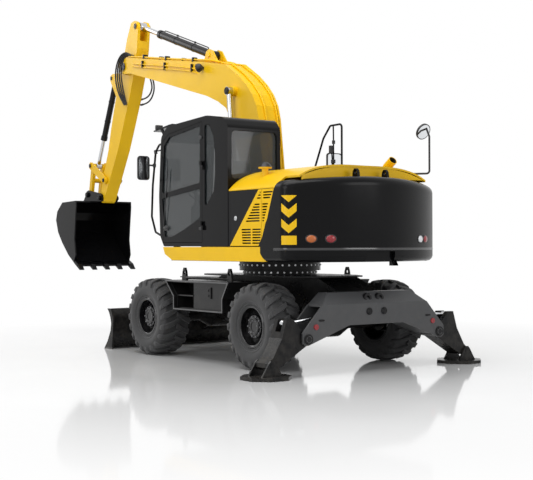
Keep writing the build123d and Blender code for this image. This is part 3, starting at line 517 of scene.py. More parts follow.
def tyre(name, centre, tallness):
    """Carcass: a closed profile (radius, width) turned round the axle. Lugs: a rounded bar whose
    middle line runs from the crown over the shoulder and down the sidewall, while its angle round
    the wheel falls off as (1 - s) ** 1.25, so that the two rows make forward-pointing arrows."""
    shell = Shell()
    a = np.linspace(0, math.pi / 2, 7)
    shoulder = np.stack([CARCASS_RADIUS - SHOULDER_RADIUS + SHOULDER_RADIUS * np.cos(a),
                         0.165 + 0.045 * np.sin(a)], 1)
    wall = [(0.435, 0.222), (0.405, TYRE_HALF - 0.001), (0.375, 0.2275), (0.345, 0.221), (0.325, 0.214),
            (0.322, 0.217), (0.310, 0.214), (0.307, 0.208), (0.292, 0.200), (0.285, 0.203), (0.272, 0.196),
            (0.268, 0.186), (0.262, 0.178), (0.252, 0.174)]
    half = np.vstack([[(CARCASS_RADIUS + 0.004, 0.0), (CARCASS_RADIUS + 0.003, 0.09)], shoulder, wall])
    whole = np.vstack([half, half[:0:-1] * (1, -1)])
    carcass = revolved(whole, WHEEL_STEPS) @ turned("x", -math.pi / 2).T
    shell.add(carcass, close_u=True, close_v=True)

    s = np.linspace(0, 1, 15)
    # middle line of a lug in (radius, width): crown, shoulder, sidewall, each with its height
    key = np.array([0, 0.3, 0.6, 0.72, 0.8, 0.88, 1.0])
    radius = np.interp(s, key, [0.506, 0.505, 0.497, 0.486, 0.470, 0.452, 0.430])
    width = np.interp(s, key, [-0.018, 0.07, 0.165, 0.196, 0.208, 0.216, 0.2215])
    height = tallness * np.interp(s, key, [0.039, 0.039, 0.034, 0.030, 0.022, 0.012, 0.003])
    lean = np.interp(s, key, [0, 0.03, 0.35, 0.75, 1.1, 1.35, 1.5])
    thick = np.interp(s, key, [0.026, 0.028, 0.033, 0.034, 0.031, 0.028, 0.022])
    swing = 0.26 * (1 - s) ** 1.25
    # section across a lug: (share of half thickness, share of height)
    section = np.array([(-1.30, -0.25), (-1.12, 0.35), (-1.0, 0.86), (-0.86, 1.0),
                        (0.86, 1.0), (1.0, 0.86), (1.12, 0.35), (1.30, -0.25)])
    across = section[:, 0][None] * thick[:, None]
    above = section[:, 1][None] * height[:, None]
    slope = np.gradient(swing * radius) / np.hypot(np.gradient(width), np.gradient(radius))
    stretch = np.sqrt(1 + slope ** 2)[:, None]
    r = radius[:, None] + above * np.cos(lean)[:, None]
    w = width[:, None] + above * np.sin(lean)[:, None]
    angle = swing[:, None] + across * stretch / radius[:, None]
    bar = np.stack([r, w, angle], -1)
    ends = [np.broadcast_to(bar[i].mean(0) - (0.012, 0, 0), bar[i].shape)[None] for i in (0, -1)]
    bar = np.concatenate([ends[0], bar, ends[1]])
    pitch = 2 * math.pi / LUGS
    r, w, angle = np.moveaxis(bar, -1, 0)
    for mirror, offset in ((1, 0.0), (-1, 0.5)):
        for i in range(LUGS):
            turn = angle + (i + offset) * pitch
            shell.add(np.stack([r * np.sin(turn), mirror * w, r * np.cos(turn)], -1))
    shell.points = [points + centre for points in shell.points]
    finish(shell, "tyre_treaded_" + name, "wheel_" + name, "tyre_rubber", replaces=("tyre_" + name,),
           sharp=32)


def circle_of(count, radius, height, offset=0.0):
    """Places round +z, each with its z axis along it."""
    angles = offset + np.arange(count) * 2 * math.pi / count
    return [place((radius * math.cos(a), radius * math.sin(a), height)) for a in angles]


def rim(name, side, centre):
    """Disc wheel: a section (radius, width) with rolled flanges, a dished disc and a hub, turned
    round the axle, with its nuts."""
    shell = Shell()
    outer = [(0.236, 0.196), (0.246, 0.199), (0.256, 0.203), (0.266, 0.203), (0.2725, 0.197), (0.272, 0.189),
             (0.264, 0.184), (0.256, 0.180), (0.2495, 0.172), (0.246, 0.150), (0.244, 0.02), (0.244, -0.17)]
    back = [(0.2495, -0.172), (0.266, -0.186), (0.270, -0.197), (0.258, -0.203), (0.240, -0.198),
            (0.232, -0.172), (0.230, -0.03)]
    dish = [(0.226, 0.070), (0.212, 0.082), (0.180, 0.089), (0.158, 0.092), (0.150, 0.096), (0.1485, 0.120),
            (0.146, 0.140), (0.142, 0.146), (0.112, 0.149), (0.110, 0.162), (0.104, 0.167), (0.096, 0.167),
            (0.092, 0.160), (0.060, 0.158), (0.058, 0.152), (0.0, 0.152)]
    lip = [(0.229, 0.076), (0.2315, 0.090), (0.232, 0.165), (0.232, 0.190)]
    inner = outer[-1:] + back + [(0.15, -0.05), (0.0, -0.05)]
    for profile in (outer[::-1] + lip[::-1] + dish, inner):
        shell.add(revolved(profile, 72), close_u=True)
    nuts = Shell()
    bolts(nuts, 0.0095, 0.014, circle_of(NUTS, NUT_CIRCLE, 0.1465))
    bolts(nuts, 0.006, 0.006, circle_of(HUB_BOLTS, HUB_CIRCLE, 0.159, 0.2))
    lay = turned("x", -side * math.pi / 2)
    for part in (shell, nuts):
        part.points = [points @ lay.T + centre for points in part.points]
    body = "wheel_" + name
    finish(shell, "rim_turned_" + name, body, "rim_black", replaces=("rim_" + name,), sharp=40)
    finish(nuts, "wheel_nuts_" + name, body, "nut_steel")


def make_wheels(sizes):
    """A tyre, a rim and its nuts at each wheel's joint."""
    for name in WHEELS:
        centre = np.array(JOINT["wheel_%s_spin" % name]["pos_m"]) - (SLEW_X, 0, 0)
        tyre(name, centre, sizes.lug_height / LUG_HEIGHT)
        rim(name, SIDES[name.split("_")[1]], centre)


# ---------------------------------------------------------------- undercarriage
def ring_of(count, radius, height, offset=0.0):
    """Places round the slew axis, each with its z axis pointing outwards."""
    angles = offset + np.arange(count) * 2 * math.pi / count
    return [place((radius * math.cos(a), radius * math.sin(a), height),
                  toward((math.cos(a), math.sin(a), 0))) for a in angles]


def pin_cap(shell, at, direction, radius):
    """Turned retaining plate over a pin's end, with three bolts round its middle."""
    turn = toward(direction)
    profile = [(0, 0), (radius, 0), (radius, 0.006), (radius - 0.003, 0.009), (radius * 0.55, 0.009),
               (radius * 0.5, 0.013), (0.0, 0.013)]
    shell.many(revolved(profile, 32), [place(at, turn)], close_u=True)
    spots = [place(np.array(at) + turn @ spot[:3, 3], turn)
             for spot in circle_of(3, radius * 0.74, 0.009, 0.5)]
    bolts(shell, radius * 0.13, 0.006, spots)


def make_undercarriage(sizes):
    """Bolt rings of the slew bearing, pin plates of beam and legs, the beam's eyes, and dark plates in the beam's
    slots as painted shade.
    """
    lower, upper = Shell(), Shell()
    bolts(lower, sizes.bolt_radius, 0.010, ring_of(36, 0.505, 1.190))
    bolts(upper, sizes.bolt_radius, 0.010, ring_of(40, 0.560, 1.290, 0.05))
    finish(lower, "slew_bolts_lower", "chassis", "steel")
    finish(upper, "slew_bolts_upper", "upper", "steel")
    beam = Shell()
    eye = [(0.052, -0.028), (0.060, -0.022), (0.060, 0.022), (0.052, 0.028), (0.030, 0.028),
           (0.026, 0.022), (0.026, -0.022), (0.030, -0.028)]
    for side in SIDES.values():
        for x, y, z, radius in ((-2.010, 1.070, 0.445, 0.062), (-2.004, 0.120, 0.744, 0.045)):
            pin_cap(beam, (x, side * y, z), (-1, 0, 0), radius)
        beam.many(revolved(eye, 28), [place((-1.93, side * 0.10, 0.905), turned("y", math.pi / 2))],
                  close_u=True, close_v=True)
        # painted shade: a dark plate in each of the beam's slots for the shade inside it
        slot = ellipse((side * 0.87, 0.660), (0.045, 0.013), 28, 2.5)
        beam.add(prism(slot, 0, -2.008, -1.990, 0.002), close_v=True)
    finish(beam, "beam_fittings", "chassis", "cylinder_black")


# ---------------------------------------------------------------- tail
TAIL_RADIUS = 2.130
TAIL_CORNER = 0.140
TAIL_HALF = 1.235
MARK_START = 1.093              # y at which the chevrons begin
MARK_FOOT, MARK_TOP = 1.700, 2.152
MARK_PITCH, MARK_THICK, MARK_RISE = 0.185, 0.096, 0.078
PLATE_FOOT, PLATE_TALL = 1.562, 0.108
TAIL_LAMP_Z = 1.632
TAIL_LAMPS = {"orange": (0.949,), "red": (0.726, -0.886), "clear": (-0.745,)}


def tail_skin(run, height, lift=0.0015):
    """Points on the tail's upright face. Along run the plan line follows the arc about the slew
    axis and then the round corner: point = centre + r (cos a, sin a), with the angle growing by
    run over the radius of the stretch that it is on. run is 0 where the chevrons begin."""
    run, height = np.broadcast_arrays(np.asarray(run, float), np.asarray(height, float))
    reach = TAIL_RADIUS - TAIL_CORNER
    corner_y = TAIL_HALF - TAIL_CORNER
    corner_x = -math.sqrt(reach ** 2 - corner_y ** 2)
    meet = math.atan2(corner_y, -corner_x)
    start = math.asin(MARK_START / TAIL_RADIUS)
    on_arc = np.minimum(start + run / TAIL_RADIUS, meet)
    left_over = np.maximum(run - (meet - start) * TAIL_RADIUS, 0)
    turn = np.minimum(meet + left_over / TAIL_CORNER, math.pi / 2)
    beyond = np.maximum(left_over - (math.pi / 2 - meet) * TAIL_CORNER, 0)
    angle = np.where(left_over > 0, turn, on_arc)
    x = np.where(left_over > 0, corner_x - TAIL_CORNER * np.cos(turn), -TAIL_RADIUS * np.cos(on_arc))
    y = np.where(left_over > 0, corner_y + TAIL_CORNER * np.sin(turn), TAIL_RADIUS * np.sin(on_arc))
    return np.stack([x + beyond - lift * np.cos(angle), y + lift * np.sin(angle), height], -1)


def tail_spot(y, z, lift=0.0):
    """A place on the tail's arc with its z axis pointing outwards."""
    x = -math.sqrt(TAIL_RADIUS ** 2 - y ** 2)
    out = np.array([x, y, 0]) / TAIL_RADIUS
    return place(np.array([x, y, z]) + out * lift, toward(out))


def make_chevrons(width):
    """Three V marks and a blank plate: height = foot + rise * |share from the middle| + thickness."""
    marks = Shell()
    u = np.linspace(0.012, 0.012 + width, 25)[:, None]
    from_middle = np.abs((u - u.mean()) / np.ptp(u)) * 2
    v = np.array([0.0, 0.35, 0.7, 1.0])[None]
    for k in range(3):
        z = MARK_FOOT + k * MARK_PITCH + MARK_RISE * from_middle + MARK_THICK * v
        marks.add(tail_skin(u + 0 * v, np.minimum(z, MARK_TOP)))
    marks.add(tail_skin(u + 0 * v, PLATE_FOOT + PLATE_TALL * v + 0 * u))
    finish(marks, "tail_chevrons", "upper", "sticker_yellow")


def make_tail_lamps():
    """Domed lenses in rolled rims, both turned sections drawn out along the tail."""
    dome = [(0.062, 0.012), (0.058, 0.018), (0.048, 0.026), (0.032, 0.032), (0.014, 0.035), (0, 0.0355)]
    rim_section = [(0.075, 0.0), (0.075, 0.010), (0.071, 0.015), (0.064, 0.017), (0.060, 0.012),
                   (0.060, -0.004)]
    oval = np.diag([0.72, 1.0, 0.8, 1.0])
    rims = Shell()
    for colour, spots in TAIL_LAMPS.items():
        lens = Shell()
        seats = [tail_spot(y, TAIL_LAMP_Z, -0.006) @ oval for y in spots]
        lens.many(revolved(dome, 36), seats, close_u=True)
        rims.many(revolved(rim_section, 36), seats, close_u=True)
        finish(lens, "tail_lamps_" + colour, "upper", colour + "_lens")
    finish(rims, "tail_lamp_rims", "upper", "dark_plastic")


def make_tail_lip():
    """A lip along the joint above the lower band: a section (how far it stands out, height) carried along the left
    half of the plan line, and the same mirrored to the right. Its black is paler than the tail's, a painted
    highlight along the bumper's top edge."""
    middle_run = -math.asin(MARK_START / TAIL_RADIUS) * TAIL_RADIUS
    run = np.linspace(middle_run, 0.36, 60)[:, None]
    out, height = np.array([(0.0003, 1.494), (0.0035, 1.498), (0.0045, 1.503), (0.0035, 1.512),
                            (0.0003, 1.523)]).T
    half = tail_skin(run + 0 * out, height[None], out[None])
    lip = Shell().add(half).add(half * (1, -1, 1))
    # painted highlight: the lip's paler black stands for the light along the bumper's top edge
    finish(lip, "tail_lip", "upper", "lip_gloss")


def make_tail(sizes):
    """What is on the tail's face, and the block under it."""
    make_chevrons(sizes.chevron_width)
    make_tail_lamps()
    make_tail_lip()
    side_view = [(-2.075, 1.30), (-1.99, 1.30), (-1.99, 1.42), (-2.075, 1.46)]
    block = Shell().add(prism(side_view, 1, -0.30, -0.215, 0.006), close_v=True)
    finish(block, "tail_hitch_block", "upper", "cylinder_black")


# ---------------------------------------------------------------- cab and body
def make_mirrors(sizes):
    """Silvered faces in the mirrors' rear sides, and clamps on the rails. A tall face is a rounded
    outline drawn in towards its middle in steps s, where it stands out by 1 - s ** 2."""
    faces = Shell()
    steps, around, crown = 9, 48, 0.004
    share = np.linspace(0, 1, steps)[:, None, None]
    # x, then two opposite corners of the mirror's back in (y, z)
    for x, low, high in ((1.4355, (1.235, 2.487), (1.424, 2.827)),
                         (1.4355, (0.724, 2.490), (0.991, 2.800)),
                         (0.2605, (-1.330, 2.662), (-1.056, 2.904))):
        centre = (np.array(low) + high) / 2
        half = (np.array(high) - low) / 2 - sizes.mirror_rim
        flat = centre + share * ellipse((0, 0), half, around, 6)[None]
        depth = np.broadcast_to(x - crown * (1 - share ** 2), (steps, around, 1))
        faces.add(np.concatenate([depth, flat], -1), close_v=True)
    disc = [(0.0, 0.0165), (0.05, 0.0155), (0.098, 0.0135)]
    lay = turned("y", math.radians(62)) @ turned("z", math.radians(-35))
    faces.many(revolved(disc, 48) * (1, 1, -1), [place((-1.610, -1.175, 3.060), lay)], close_u=True)
    finish(faces, "mirror_faces", "upper", "mirror_face")
    clamps = Shell()
    ring = [(0.012, -0.026), (0.021, -0.026), (0.024, -0.022), (0.024, 0.022), (0.021, 0.026),
            (0.012, 0.026)]
    for at, along in (((1.450, 1.150, 2.700), (0, 0, 1)), ((1.412, 1.150, 2.888), (0.3, 0, 1)),
                      ((0.240, -1.163, 2.780), (0, 0, 1)), ((0.008, -1.120, 2.620), (0, 0, 1)),
                      ((0.645, -1.120, 2.560), (0, 0, 1)), ((0.240, -1.158, 3.060), (0, 0, 1))):
        clamps.many(revolved(ring, 24), [place(at, toward(along))], close_u=True)
    finish(clamps, "rail_clamps", "upper", "dark_plastic")


DOOR_FACE = 1.199               # y of the cab door's outer face
CAB_MIDDLE = 0.780              # y of the seat and the steering column
STEER_RADIUS, STEER_GRIP = 0.178, 0.014
SPOKE_STEP = 2.094              # radians from one of the three spokes to the next
LEVER_X = 0.460
LEVERS_Y = (0.485, 1.075)
ROOF_LAMPS_Y = (0.470, 1.090)


def make_door_fittings():
    """A recessed plate with a pull handle, and the two hinge plates."""
    handle = Shell()
    plate = ellipse((1.043, 1.80), (0.058, 0.036), 36, 2.4)
    handle.add(prism(plate, 1, DOOR_FACE, 1.206), close_v=True)
    grip = spline([(1.085, 1.204, 1.803), (1.080, 1.222, 1.803), (1.045, 1.226, 1.801),
                   (1.008, 1.222, 1.798), (1.002, 1.204, 1.798)], 6)
    handle.add(swept(grip, 0.0075), close_v=True)
    finish(handle, "door_handle", "cab_door", "dark_plastic")
    hinges = Shell()
    for z in (2.993, 1.780):
        plate = ellipse((0.145, z), (0.036, 0.020), 28, 4)
        hinges.add(prism(plate, 1, DOOR_FACE, 1.213, 0.004), close_v=True)
    finish(hinges, "door_hinges", "cab_door", "dark_plastic")


def make_steering_wheel():
    """A ring (point = R (cos a, sin a) + r (cos b * outward + sin b * up)) with a hub and three
    spokes, on its column."""
    wheel = Shell()
    a = np.linspace(0, 2 * math.pi, 48, endpoint=False)
    b = np.linspace(0, 2 * math.pi, 12, endpoint=False)[None, :, None]
    outward = np.stack([np.cos(a), np.sin(a), 0 * a], -1)[:, None]
    ring = STEER_RADIUS * outward + STEER_GRIP * (np.cos(b) * outward + np.sin(b) * np.array([0, 0, 1.0]))
    seat = [place((0.790, CAB_MIDDLE, 2.250), turned("y", math.radians(-28)))]
    wheel.many(ring, seat, close_u=True, close_v=True)
    hub = [(0, -0.03), (0.045, -0.03), (0.05, -0.01), (0.035, 0.008), (0, 0.012)]
    wheel.many(revolved(hub, 24), seat, close_u=True)
    for k in range(3):
        angle = k * SPOKE_STEP + 0.5
        end = np.array([0.172 * math.cos(angle), 0.172 * math.sin(angle), 0])
        spoke = np.array([0.03 * end + (0, 0, -0.012), 0.5 * end + (0, 0, -0.01), end])
        wheel.many(swept(spoke, 0.010), seat, close_v=True)
    column = [(0.96, CAB_MIDDLE, 1.60), (0.94, CAB_MIDDLE, 1.75), (0.87, CAB_MIDDLE, 2.06),
              (0.80, CAB_MIDDLE, 2.235)]
    wheel.add(swept(spline(column, 5), 0.035), close_v=True)
    finish(wheel, "steering_wheel", "upper", "dark_plastic")


def make_levers():
    """A turned grip over a folded boot on each console."""
    levers = Shell()
    knob = [(0, -0.075), (0.022, -0.07), (0.026, -0.04), (0.021, 0.0), (0.028, 0.03), (0.030, 0.055),
            (0.02, 0.075), (0, 0.08)]
    boot = [(0.055, 0.0), (0.052, 0.012), (0.042, 0.018), (0.044, 0.030), (0.034, 0.038), (0.035, 0.05),
            (0.026, 0.058)]
    for y in LEVERS_Y:
        levers.many(revolved(knob, 24), [place((LEVER_X, y, 2.280))], close_u=True)
        levers.many(revolved(boot, 24), [place((LEVER_X, y, 2.080))], close_u=True)
    finish(levers, "joystick_grips", "upper", "dark_plastic")


def make_roof_lamps():
    """Two box lamps at the cab's upper front edge, each with its lens."""
    lamps, lenses = Shell(), Shell()
    for y in ROOF_LAMPS_Y:
        lamps.add(rounded_box((1.395, y - 0.055, 3.205), (1.445, y + 0.055, 3.275), 0.012), close_u=True)
        lenses.add(rounded_box((1.436, y - 0.046, 3.214), (1.452, y + 0.046, 3.266), 0.006), close_u=True)
    finish(lamps, "roof_lamp_housings", "upper", "dark_plastic")
    finish(lenses, "roof_lamp_lenses", "upper", "clear_lens")


def make_cab_fittings():
    """Door handle and hinges, steering wheel and levers, roof lamps, and the door's front trim."""
    make_door_fittings()
    make_steering_wheel()
    make_levers()
    make_roof_lamps()
    line = [(1.105, 1.196, 1.74), (1.09, 1.208, 1.90), (1.03, 1.209, 2.25), (0.985, 1.206, 2.62)]
    trim = Shell().add(swept(spline(line), 0.007), close_v=True)
    finish(trim, "door_trim_line", "cab_door", "dark_plastic")


def cushion(low, high, crown, tilt=0.0, at=(0, 0, 0)):
    """A padded block, tilted about y and then moved: the box bulges as crown times the product of
    two parabolas on its broad top, a shallow channel runs along it on each side, and its side walls
    are drawn in half way between the corners."""
    low, high = np.array(low), np.array(high)
    centre, half = (low + high) / 2, (high - low) / 2
    waist, channel_y, channel_width, channel_depth, wall = 0.02, 0.52, 0.05, 0.006, 0.85
    grid = rounded_box(-half, half, min(half) * 0.72, 6)
    x, y = grid[..., 0] / half[0], grid[..., 1] / half[1]
    broad = (1 - np.clip(x, -1, 1) ** 2) * (1 - np.clip(y, -1, 1) ** 2)
    channel = channel_depth * np.exp(-((np.abs(y) - channel_y) / channel_width) ** 2) * (1 - x ** 4)
    grid[..., 2] += np.where(grid[..., 2] > 0, crown * broad - channel, 0)
    grid[..., 0] *= 1 - waist * (1 - y ** 2) * (np.abs(x) > wall)
    grid[..., 1] *= 1 - waist * (1 - x ** 2) * (np.abs(y) > wall)
    return Shell().add((grid + centre) @ turned("y", tilt).T + at, close_u=True)


def make_seat(sizes):
    """Driver's seat: two padded cushions on a moulded pan, in place of the plain seat."""
    pan = Shell().add(rounded_box((0.005, 0.625, 1.592), (0.415, 0.935, 1.862), 0.03), close_u=True)
    finish(pan, "seat_pan", "upper", "dark_plastic")
    base = cushion((-0.055, 0.545, 1.868), (0.455, 1.015, 1.985), sizes.seat_crown)
    back = cushion((-0.36, -0.215, -0.055), (0.36, 0.215, 0.050), sizes.seat_crown, math.radians(82.5),
                   (-0.052, CAB_MIDDLE, 2.330))
    for name, shell in (("seat_cushion", base), ("seat_back", back)):
        thing = finish(shell, name, "upper", "seat_fabric", sharp=60)
        soft = thing.modifiers.new("rounding", "SUBSURF")
        soft.levels = soft.render_levels = 1
        if name == "seat_cushion":
            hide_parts("seat")


def make_body_trim():
    """Latches of the service doors, the wall that closes the hood's end, and a dark lining in the exhaust's mouth
    as painted shade inside the pipe.
    """
    latches = Shell()
    at = (-0.678, 1.90)
    for side in SIDES.values():
        for half, count, inner, outer, edge in (((0.030, 0.030), 28, 1.199, 1.206, 0.002),
                                                ((0.010, 0.016), 20, 1.204, 1.210, 0.001)):
            low, high = sorted((side * inner, side * outer))
            latches.add(prism(ellipse(at, half, count), 1, low, high, edge), close_v=True)
    finish(latches, "side_latches", "upper", "steel")
    # the wall's top follows the hood's crown: height = top - fall * |share of half width| ** 2.6
    across = np.linspace(-1.0, 1.0, 41)
    crown = np.stack([across, 2.541 - 0.155 * np.abs(across / 1.03) ** 2.6], 1)
    foot = np.stack([across, np.full(len(across), 2.255)], 1)
    outline = np.concatenate([crown, foot[::-1]])
    wall = Shell().add(prism(outline, 0, -1.790, -1.778, 0.002), close_v=True)
    finish(wall, "hood_end_wall", "upper", "yellow_paint")
    # painted shade: a dark tube set in the exhaust's mouth for the shade inside the pipe
    lining = [(0.0, -0.16), (0.0505, -0.16), (0.0515, -0.002)]
    mouth = place((-1.375, -0.850, 2.680), toward((-0.8137, 0, 0.5812)))
    mouth_shade = Shell().many(revolved(lining, 32), [mouth], close_u=True)
    finish(mouth_shade, "exhaust_lining", "upper", "dark_plastic")


# ---------------------------------------------------------------- boom, arm and bucket
# pin centres as (x, z)
BOOM_FOOT, BOOM_NOSE = (0.210, 1.950), (4.110, 4.550)
BOOM_CYLINDER_BASE, BOOM_CYLINDER_EYE = (0.580, 1.560), (0.820, 3.760)
ARM_CYLINDER_BASE, ARM_CYLINDER_EYE = (1.650, 4.410), (3.830, 5.190)
BUCKET_CYLINDER_BASE, ROCKER_EYE = (4.720, 4.440), (5.400, 2.970)
ROCKER_PIVOT, BUCKET_PIVOT, BUCKET_EYE = (4.890, 2.690), (5.050, 2.390), (5.500, 2.460)

PIN_PLATES = {
    # body: rows of (pin, outer face from the middle, plate radius)
    "boom": ((BOOM_CYLINDER_EYE, 0.332, 0.052), (BOOM_NOSE, 0.205, 0.066), (BOOM_FOOT, 0.190, 0.060)),
    "arm": ((ARM_CYLINDER_EYE, 0.127, 0.046), (ROCKER_PIVOT, 0.170, 0.036),
            (BUCKET_CYLINDER_BASE, 0.1, 0.032)),
    "bucket": ((BUCKET_PIVOT, 0.185, 0.042), (BUCKET_EYE, 0.185, 0.042)),
    "rocker": ((ROCKER_EYE, 0.165, 0.034),),
}
# name and body: base, eye, y of each cylinder, barrel radius, start and end along it, way out
CYLINDER_LINES = {
    ("boom_cylinder_lines", "boom_barrels"):
        (BOOM_CYLINDER_BASE, BOOM_CYLINDER_EYE, (0.293, -0.293), 0.050, 0.16, 1.50, (0.3, 1, 0)),
    ("arm_cylinder_lines", "arm_barrel"):
        (ARM_CYLINDER_BASE, ARM_CYLINDER_EYE, (0,), 0.062, 0.18, 1.55, (-0.3, 0, 1)),
    ("bucket_cylinder_lines", "bucket_barrel"):
        (BUCKET_CYLINDER_BASE, ROCKER_EYE, (0,), 0.050, 0.15, 1.05, (1, 0, 0.3)),
}


def make_pins():
    """Plates over the ends of the pins on the boom, the arm and the bucket's links."""
    for body, rows in PIN_PLATES.items():
        shell = Shell()
        for (x, z), face, radius in rows:
            for side in SIDES.values():
                pin_cap(shell, (x, side * face, z), (0, side, 0), radius)
        finish(shell, "pin_plates_" + body, body, "cylinder_black")


def cylinder_line(shell, base, eye, y, barrel, start, end, out):
    """Oil pipe along a cylinder's barrel, with its two banjo ends, and two clamps on it."""
    base, eye = np.array([base[0], y, base[1]]), np.array([eye[0], y, eye[1]])
    along = (eye - base) / np.linalg.norm(eye - base)
    out = np.asarray(out, float) - along * np.dot(out, along)
    out /= np.linalg.norm(out)
    low, high = base + along * start, base + along * end
    near, far, bend = barrel * 0.9, barrel + 0.022, 0.05
    route = [low + out * near, low + out * far, low + out * far + along * bend,
             (low + high) / 2 + out * far,
             high + out * far - along * bend, high + out * far, high + out * near]
    shell.add(swept(spline(route), 0.0085), close_v=True)
    inner, outer, half = barrel - 0.002, barrel + 0.004, 0.014
    band = [(inner, -half), (outer, -half), (outer, half), (inner, half)]
    block = [(0, -0.016), (0.015, -0.016), (0.015, 0.016), (0, 0.016)]
    for share in (0.3, 0.7):
        spot = low + (high - low) * share
        shell.many(revolved(band, 40), [place(spot, toward(along))], close_u=True)
        shell.many(revolved(block, 12), [place(spot + out * far, toward(along))], close_u=True)


def make_cylinder_lines():
    """Steel lines and clamps on the boom's, the arm's and the bucket's cylinders."""
    for (name, body), (base, eye, places, barrel, start, end, out) in CYLINDER_LINES.items():
        shell = Shell()
        for y in places:
            outward = (out[0], math.copysign(out[1], y), out[2])
            cylinder_line(shell, base, eye, y, barrel, start, end, outward)
        finish(shell, name, body, "cylinder_black")


def hose(name, routes, radius):
    """Rubber hoses: each is a circle swept along a cubic spline of its route, thicker at both ends as a ferrule.
    They cross a joint between two bodies."""
    shell = Shell()
    for route in routes:
        path = spline(route)
        size = np.full(len(path), radius)
        size[:4] = size[-4:] = radius * 1.35
        shell.add(swept(path, size), close_v=True)
    thing = dressed(shell, name, "hose_rubber", SHARP_ANGLE)
    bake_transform(thing)


def make_foot_hoses(radius):
    """Three hoses that rise from the upper frame behind the boom's foot."""
    routes = []
    for k, y in enumerate((-0.168, -0.128, 0.06)):
        back = 0.02 * k
        routes.append([(-0.16 - back, y * 0.8, 1.44), (-0.20 - back, y * 0.85, 1.75),
                       (-0.17 - 0.03 * k, y, 2.10), (-0.03 - back, y, 2.34), (0.075, y, 2.46),
                       (0.112, y, 2.52)])
    hose("boom_foot_hoses", routes, radius)


def make_steel_lines(radius):
    """Four painted lines along the boom's back and two along its left side, with their clips."""
    lines = Shell()
    for low, high in ((-0.168, -0.165), (-0.128, -0.135), (0.06, 0.140), (0.10, 0.172)):
        route = [(1.34, low, 4.262), (1.46, (low + high) / 2, 4.300), (1.62, high, 4.325),
                 (2.20, high, 4.412), (2.92, high, 4.528), (3.45, high, 4.620), (3.84, high, 4.682),
                 (3.96, high, 4.700)]
        lines.add(swept(spline(route), radius), close_v=True)
    inner, outer = 0.186, 0.206
    for drop in (0.075, 0.125):
        route = [(1.80, inner, 4.262 - drop), (1.86, outer, 4.300 - drop), (2.30, outer, 4.385 - drop),
                 (2.92, outer, 4.487 - drop), (3.45, outer, 4.575 - drop), (3.72, outer, 4.620 - drop),
                 (3.80, inner, 4.635 - drop)]
        lines.add(swept(spline(route), radius * 0.8), close_v=True)
    finish(lines, "boom_steel_lines", "boom", "yellow_paint")
    clips = Shell()
    for x, z in ((1.95, 4.360), (2.75, 4.490), (3.45, 4.612)):
        boxes = [((x - 0.02, y - 0.042, z - 0.02), (x + 0.02, y + 0.042, z + 0.048))
                 for y in (-0.150, 0.156)]
        boxes.append(((x - 0.014, 0.188, z - 0.175), (x + 0.014, 0.226, z - 0.055)))
        for low, high in boxes:
            clips.add(rounded_box(low, high, 0.006), close_u=True)
    finish(clips, "line_clips", "boom", "cylinder_black")


def make_nose_hoses(radius):
    """Four hoses that bow round the boom's nose on the left, and two loops below it on the right."""
    routes = []
    for k in range(4):
        y, out = 0.205 + 0.016 * k, 0.035 * k
        routes.append([(3.90, 0.10 + 0.024 * k, 4.700), (4.00, y - 0.06, 4.735 + out * 0.5),
                       (4.11 + out * 0.4, y, 4.70 + out * 0.4), (4.165 + out, y + 0.02, 4.50),
                       (4.150 + out * 1.2, y, 4.25), (4.12 + out * 0.7, y - 0.04, 4.03),
                       (4.13 + out * 0.5, 0.135, 3.92)])
    hose("boom_nose_hoses", routes, radius)
    routes = []
    for k in range(2):
        y = -0.150 - 0.03 * k
        routes.append([(3.86 - 0.02 * k, y, 4.42), (3.855 - 0.03 * k, y - 0.03, 4.32),
                       (3.83 - 0.02 * k, y - 0.05, 4.20 - 0.02 * k),
                       (3.90 - 0.01 * k, y - 0.04, 4.08 - 0.06 * k),
                       (4.00, y - 0.01, 4.03 - 0.08 * k), (4.10, -0.122, 4.02 - 0.09 * k)])
    hose("boom_nose_loops", routes, radius)


def make_boom_lamp():
    """A turned bowl and its lens on the boom's left side, on a small bracket."""
    bowl = [(0.0, -0.055), (0.030, -0.052), (0.055, -0.030), (0.064, 0.0), (0.066, 0.022), (0.060, 0.026),
            (0.056, 0.020)]
    glass_dome = [(0.057, 0.018), (0.04, 0.024), (0.02, 0.027), (0, 0.028)]
    seat = [place((1.66, 0.262, 4.205), toward((0.9, 0.35, -0.25)))]
    lamp = Shell().many(revolved(bowl, 32), seat, close_u=True)
    lamp.add(rounded_box((1.630, 0.188, 4.185), (1.664, 0.235, 4.225), 0.008), close_u=True)
    finish(lamp, "boom_lamp_housing", "boom", "dark_plastic")
    lens = Shell().many(revolved(glass_dome, 32), seat, close_u=True)
    finish(lens, "boom_lamp_lens", "boom", "clear_lens")


# ---------------------------------------------------------------- stage
def euler(basis):
    """Euler angles of a 3 x 3 rotation."""
    return Matrix(basis.tolist()).to_euler()


def make_world(level):
    """Soft grey light from all round; white where it is seen straight, mirrored or through glass."""
    world = bpy.data.worlds.new("studio")
    bpy.context.scene.world = world
    world.use_nodes = True
    nodes, links = world.node_tree.nodes, world.node_tree.links
    nodes.clear()
    path = nodes.new("ShaderNodeLightPath")
    seen = path.outputs["Is Camera Ray"]
    for ray in ("Is Glossy Ray", "Is Transmission Ray"):
        either = nodes.new("ShaderNodeMath")
        either.operation = "MAXIMUM"
        links.new(seen, either.inputs[0])
        links.new(path.outputs[ray], either.inputs[1])
        seen = either.outputs[0]
    mix = nodes.new("ShaderNodeMixShader")
    links.new(seen, mix.inputs[0])
    for index, colour, strength in ((1, (0.78, 0.79, 0.80, 1), level), (2, (1, 1, 1, 1), 1.0)):
        light = nodes.new("ShaderNodeBackground")
        light.inputs["Color"].default_value = colour
        light.inputs["Strength"].default_value = strength
        links.new(light.outputs[0], mix.inputs[index])
    links.new(mix.outputs[0], nodes.new("ShaderNodeOutputWorld").inputs[0])


